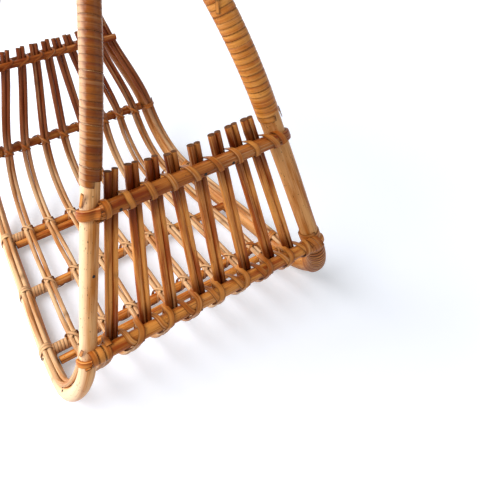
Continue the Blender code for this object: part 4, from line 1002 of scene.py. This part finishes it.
# %% [markdown]
# The arms are wound with peel, turn beside turn, from above the top rails to where the two canes
# meet. From there one ribbon goes round both, which makes the handle. The right foot is wound
# too, where the hoop bends and the last rib pair comes in. A winding is a helix: the place along
# the cane goes up evenly while the angle turns, and the pitch is a little uneven, as handwork is.

# %% Windings
PITCH_ALONG = 0.0056
POINTS_PER_TURN = 18
ARM_STRIP = {"width": 0.0061, "thickness": 0.0006, "crown": 0.00012, "finish": ARM_PEEL}
BELOW_TOP_RAIL = {"left": 0.0245, "right": 0.0225}
ABOVE_BACK_TOP = 0.0280
WINDING_GAP, HANDLE_GAP, PAIR_WINDING_GAP = 0.0002, 0.0013, 0.0003
ARM_HALF_WIDTH, HANDLE_HALF_WIDTH = 0.0128, 0.0150


def winding(hoop, start, end, turns, jitter=0.0):
    count = int(turns * POINTS_PER_TURN)
    radius = hoop.radius + WINDING_GAP + PEEL_THICKNESS / 2
    points, normals = [], []
    offsets = rng.uniform(-jitter, jitter, int(turns) + 3)
    for index in range(count + 1):
        turn = index / POINTS_PER_TURN
        place = start + (end - start) * index / count + np.interp(turn, range(len(offsets)), offsets)
        angle = 2 * math.pi * turn
        along = hoop.axis(place)
        first = unit(np.cross(along, X_AXIS))
        normals.append(first * math.cos(angle) + np.cross(along, first) * math.sin(angle))
        points.append(hoop.point(place) + normals[-1] * radius)
    return points, normals


def bound_stretch(hoop, half_width):
    """The places on the front and back arm where the hoop is this far from the middle."""
    return (hoop.place_of_half_width(0.03, hoop.top_rail, half_width),
            hoop.place_of_half_width(hoop.back_top, hoop.total - 0.03, half_width))


for name, hoop in HOOPS.items():
    starts = (hoop.top_rail - BELOW_TOP_RAIL[name], hoop.back_top + ABOVE_BACK_TOP)
    for side, start, end in zip(("front", "back"), starts, bound_stretch(hoop, ARM_HALF_WIDTH)):
        turns = abs(end - start) / PITCH_ALONG
        points, normals = winding(hoop, start, end, turns, jitter=0.0005)
        nodes = [node for node in (f"{side}_arm_wrap_{name}",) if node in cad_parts]
        peel_piece(f"{side}_arm_winding_{name}", [peel_strand(points, normals, rng.uniform(0, 9), 0.5)],
                   nodes=nodes, **ARM_STRIP)
        print(f"{side} arm, {name}: {turns:.0f} turns")

# %% Handle binding
HANDLE_POINTS_PER_TURN = 28
front_end, back_end = bound_stretch(LEFT, HANDLE_HALF_WIDTH)
back_end -= LEFT.total
turns = int((front_end - back_end) / PITCH_ALONG)
count = turns * HANDLE_POINTS_PER_TURN
points, normals = [], []
for index in range(count + 1):
    place = front_end - (front_end - back_end) * index / count
    step = (index % HANDLE_POINTS_PER_TURN) / HANDLE_POINTS_PER_TURN
    hoop = RIGHT if step < 0.5 else LEFT
    angle = math.pi / 2 - 2 * math.pi * step
    up = unit(np.cross(X_AXIS, hoop.axis(place)))
    up = up if up[2] > 0 else -up
    normals.append(X_AXIS * math.cos(angle) + up * math.sin(angle))
    points.append(hoop.point(place) + normals[-1] * (hoop.radius + HANDLE_GAP + PEEL_THICKNESS / 2))
peel_piece("handle_binding", [peel_strand(points, normals, 5.0, 0.5)], nodes=["left_arm_and_handle_wrap"], **ARM_STRIP)
print("handle:", turns, "turns over", round(front_end - back_end, 3), "m")

# %% Windings round a hoop and the rib pair in it
def pair_winding(hoop, start, length, turns):
    """A ribbon round a hoop and the two ribs that lie against its inside."""
    around = turn_radius(hoop.radius, WINDING_GAP)
    over = hoop.radius + 2 * RIB_RADIUS + PAIR_WINDING_GAP + PEEL_THICKNESS
    corners = [(around * math.sin(a), around * math.cos(a), a)
               for a in (math.radians(67.5 + 45 * step) for step in range(6))]
    corners += [(side * 1.6 * RIB_RADIUS, over, math.radians(side * 30)) for side in (-1, 1)]
    points, normals = [], []
    for index in range(turns * 8 + 1):
        place = start + length * index / turns / 8
        along = hoop.axis(place)
        sideways = unit(np.cross(along, hoop.inward(place)))
        inward = np.cross(sideways, along)
        across, up, angle = corners[index % 8]
        points.append(hoop.point(place) + sideways * across + inward * up)
        normals.append(sideways * math.sin(angle) + inward * math.cos(angle))
    return softened(points, normals, 2)


foot = pair_winding(RIGHT, RIGHT.bottom_rail + 0.0100, 0.064, 14)
peel_piece("right_foot_winding", [peel_strand(*foot, 2.0, 0.4)], 0.0043, ["right_toe_wrap"], crown=0.0001)
ties = [pair_winding(hoop, getattr(hoop, name) - 0.004, 0.008, 2)
        for hoop in (LEFT, RIGHT) for name in ("toe", "floor", "heel", "back_middle")]
peel_piece("leg_ties", [peel_strand(*tie, index * 1.7, 0.4) for index, tie in enumerate(ties)], 0.0042)
print("right foot wound, and both legs tied in", len(ties), "places")

# %% [markdown]
# Where the bottom rail meets the right pole, two flat bands go over the rail's end, one goes round
# the rail and one round the pole. Here and there the free end of a strip stands off the pole.

# %% Corner bands and loose ends
# Each corner of a band: how far across, how far below the pole's crossing, and how far forward.
BAND = ((-0.0030, 0.0100, 0.0100), (-0.0020, 0.0095, 0.0145), (-0.0005, 0.0050, 0.0190),
        (0.0010, -0.0040, 0.0192), (0.0030, -0.0088, 0.0145), (0.0035, -0.0098, 0.0100))
BAND_MIDDLE = 0.0085
RING_PLACE, RING_RADIUS = -0.0175, 0.0091


def on_pole(hoop, place, degrees):
    """A point on a pole's skin, at an angle from the front towards the right, and its normal."""
    angle = math.radians(degrees)
    along = hoop.axis(place)
    front = unit(-hoop.inward(place) - along * (-hoop.inward(place) @ along))
    sideways = np.cross(front, along)
    sideways = sideways if sideways[0] > 0 else -sideways
    normal = front * math.cos(angle) + sideways * math.sin(angle)
    return hoop.point(place) + normal * hoop.radius, normal


def loose_end(hoop, place, degrees, length, lift):
    """The free end of a strip, which stands a little off the pole."""
    points, normals = [], []
    for share in np.linspace(0, 1, 7):
        surface, normal = on_pole(hoop, place - length * share, degrees + 25 * share)
        points.append(surface + normal * (0.0014 + lift * share * share))
        normals.append(normal)
    return peel_strand(points, normals, degrees / 9.0, 0.9)


# Two bands, each with its place across from the pole and how far it lies inwards.
corner_bands = []
for place, inset in ((-0.0085, 0.0), (-0.0010, 0.0024)):
    points = [RIGHT.point(RIGHT.bottom_rail - rise) + X_AXIS * (place + across) + PANEL_FORWARD * (ahead - inset)
              for across, rise, ahead in BAND]
    normals = [unit(POLE_UP * rise + PANEL_FORWARD * (ahead - BAND_MIDDLE)) for _, rise, ahead in BAND]
    corner_bands.append(peel_strand(*softened(points, normals), 4.0 + place * 100, 0.2))
angles = [math.radians(45 * step + 200) for step in range(10)]
normals = [PANEL_FORWARD * math.cos(angle) + POLE_UP * math.sin(angle) for angle in angles]
points = [panel_point(BOTTOM_HALF + RING_PLACE - 0.55 * RING_RADIUS * math.sin(angle), RING_RADIUS * math.sin(angle),
                      RAIL_OFFSET + RING_RADIUS * math.cos(angle)) for angle in angles]
corner_bands.append(peel_strand(*softened(points, normals), 6.0 + RING_PLACE * 100, 0.2))
collar = winding(RIGHT, RIGHT.bottom_rail - 0.0135, RIGHT.bottom_rail - 0.0045, 2)
corner_bands.append(peel_strand(*collar, 8.0, 0.4))
peel_piece("right_corner_bands", corner_bands, 0.0072)

ends = [loose_end(LEFT, LEFT.top_rail - 0.004, -75, 0.014, 0.003),
        loose_end(RIGHT, RIGHT.top_rail - 0.016, 60, 0.009, 0.001),
        loose_end(LEFT, LEFT.bottom_rail - 0.002, -70, 0.010, 0.003),
        loose_end(RIGHT, RIGHT.top_rail - 0.130, -60, 0.010, 0.002)]
peel_piece("loose_ends", ends, 0.0034, thickness=0.0006)
print(len(corner_bands), "bands at the right corner, and", len(ends), "loose ends")

# %% [markdown]
# Small wire nails hold the ends of the rails and the first turns of the peel. Their heads are
# domes a few millimetres across. A nail is the same shape many times, so a third tree puts one
# dome on each point and turns it to face outwards.

# %% Nails
RAIL_NAILS = (-0.0826, 0.0070, 0.0392)
RAIL_NAIL_TILT = math.radians(20)
# Places on the left hoop past its top rail, with the angle round the pole.
POLE_NAILS = ((0.0596, 10), (-0.0294, 25), (0.2386, -160), (0.2339, -135), (0.4088, -110), (0.3076, -120))

nail_tree, graph, given = new_tree("nail_heads", (("Head Radius", NUMBER), ("Finish", "NodeSocketMaterial")))
dome = graph.node("GeometryNodeMeshUVSphere", {"Segments": 14, "Rings": 8, "Radius": given["Head Radius"]})
dome = graph.node("GeometryNodeTransform", {"Geometry": dome, "Scale": (1.0, 1.0, 0.45)})
turned = graph.node("FunctionNodeAlignRotationToVector", {"Vector": read(graph, "face", VECTOR)}, axis="Z")
heads = graph.node("GeometryNodeInstanceOnPoints", {
    "Points": given["Path"], "Instance": dome, "Rotation": turned})
end_tree(graph, heads, given["Finish"])

normal = PANEL_FORWARD * math.cos(RAIL_NAIL_TILT) - POLE_UP * math.sin(RAIL_NAIL_TILT)
nails = [(panel_point(x, PANEL_HEIGHT, RAIL_OFFSET) + normal * FRONT_RAIL_RADIUS, normal) for x in RAIL_NAILS]
nails += [on_pole(LEFT, LEFT.top_rail + past, degrees) for past, degrees in POLE_NAILS]
points, normals = zip(*nails)
build_piece("nail_heads", [peel_strand(points, normals)], nail_tree, NAIL, {"Head Radius": 0.0017}, [])
print(len(nails), "nail heads")
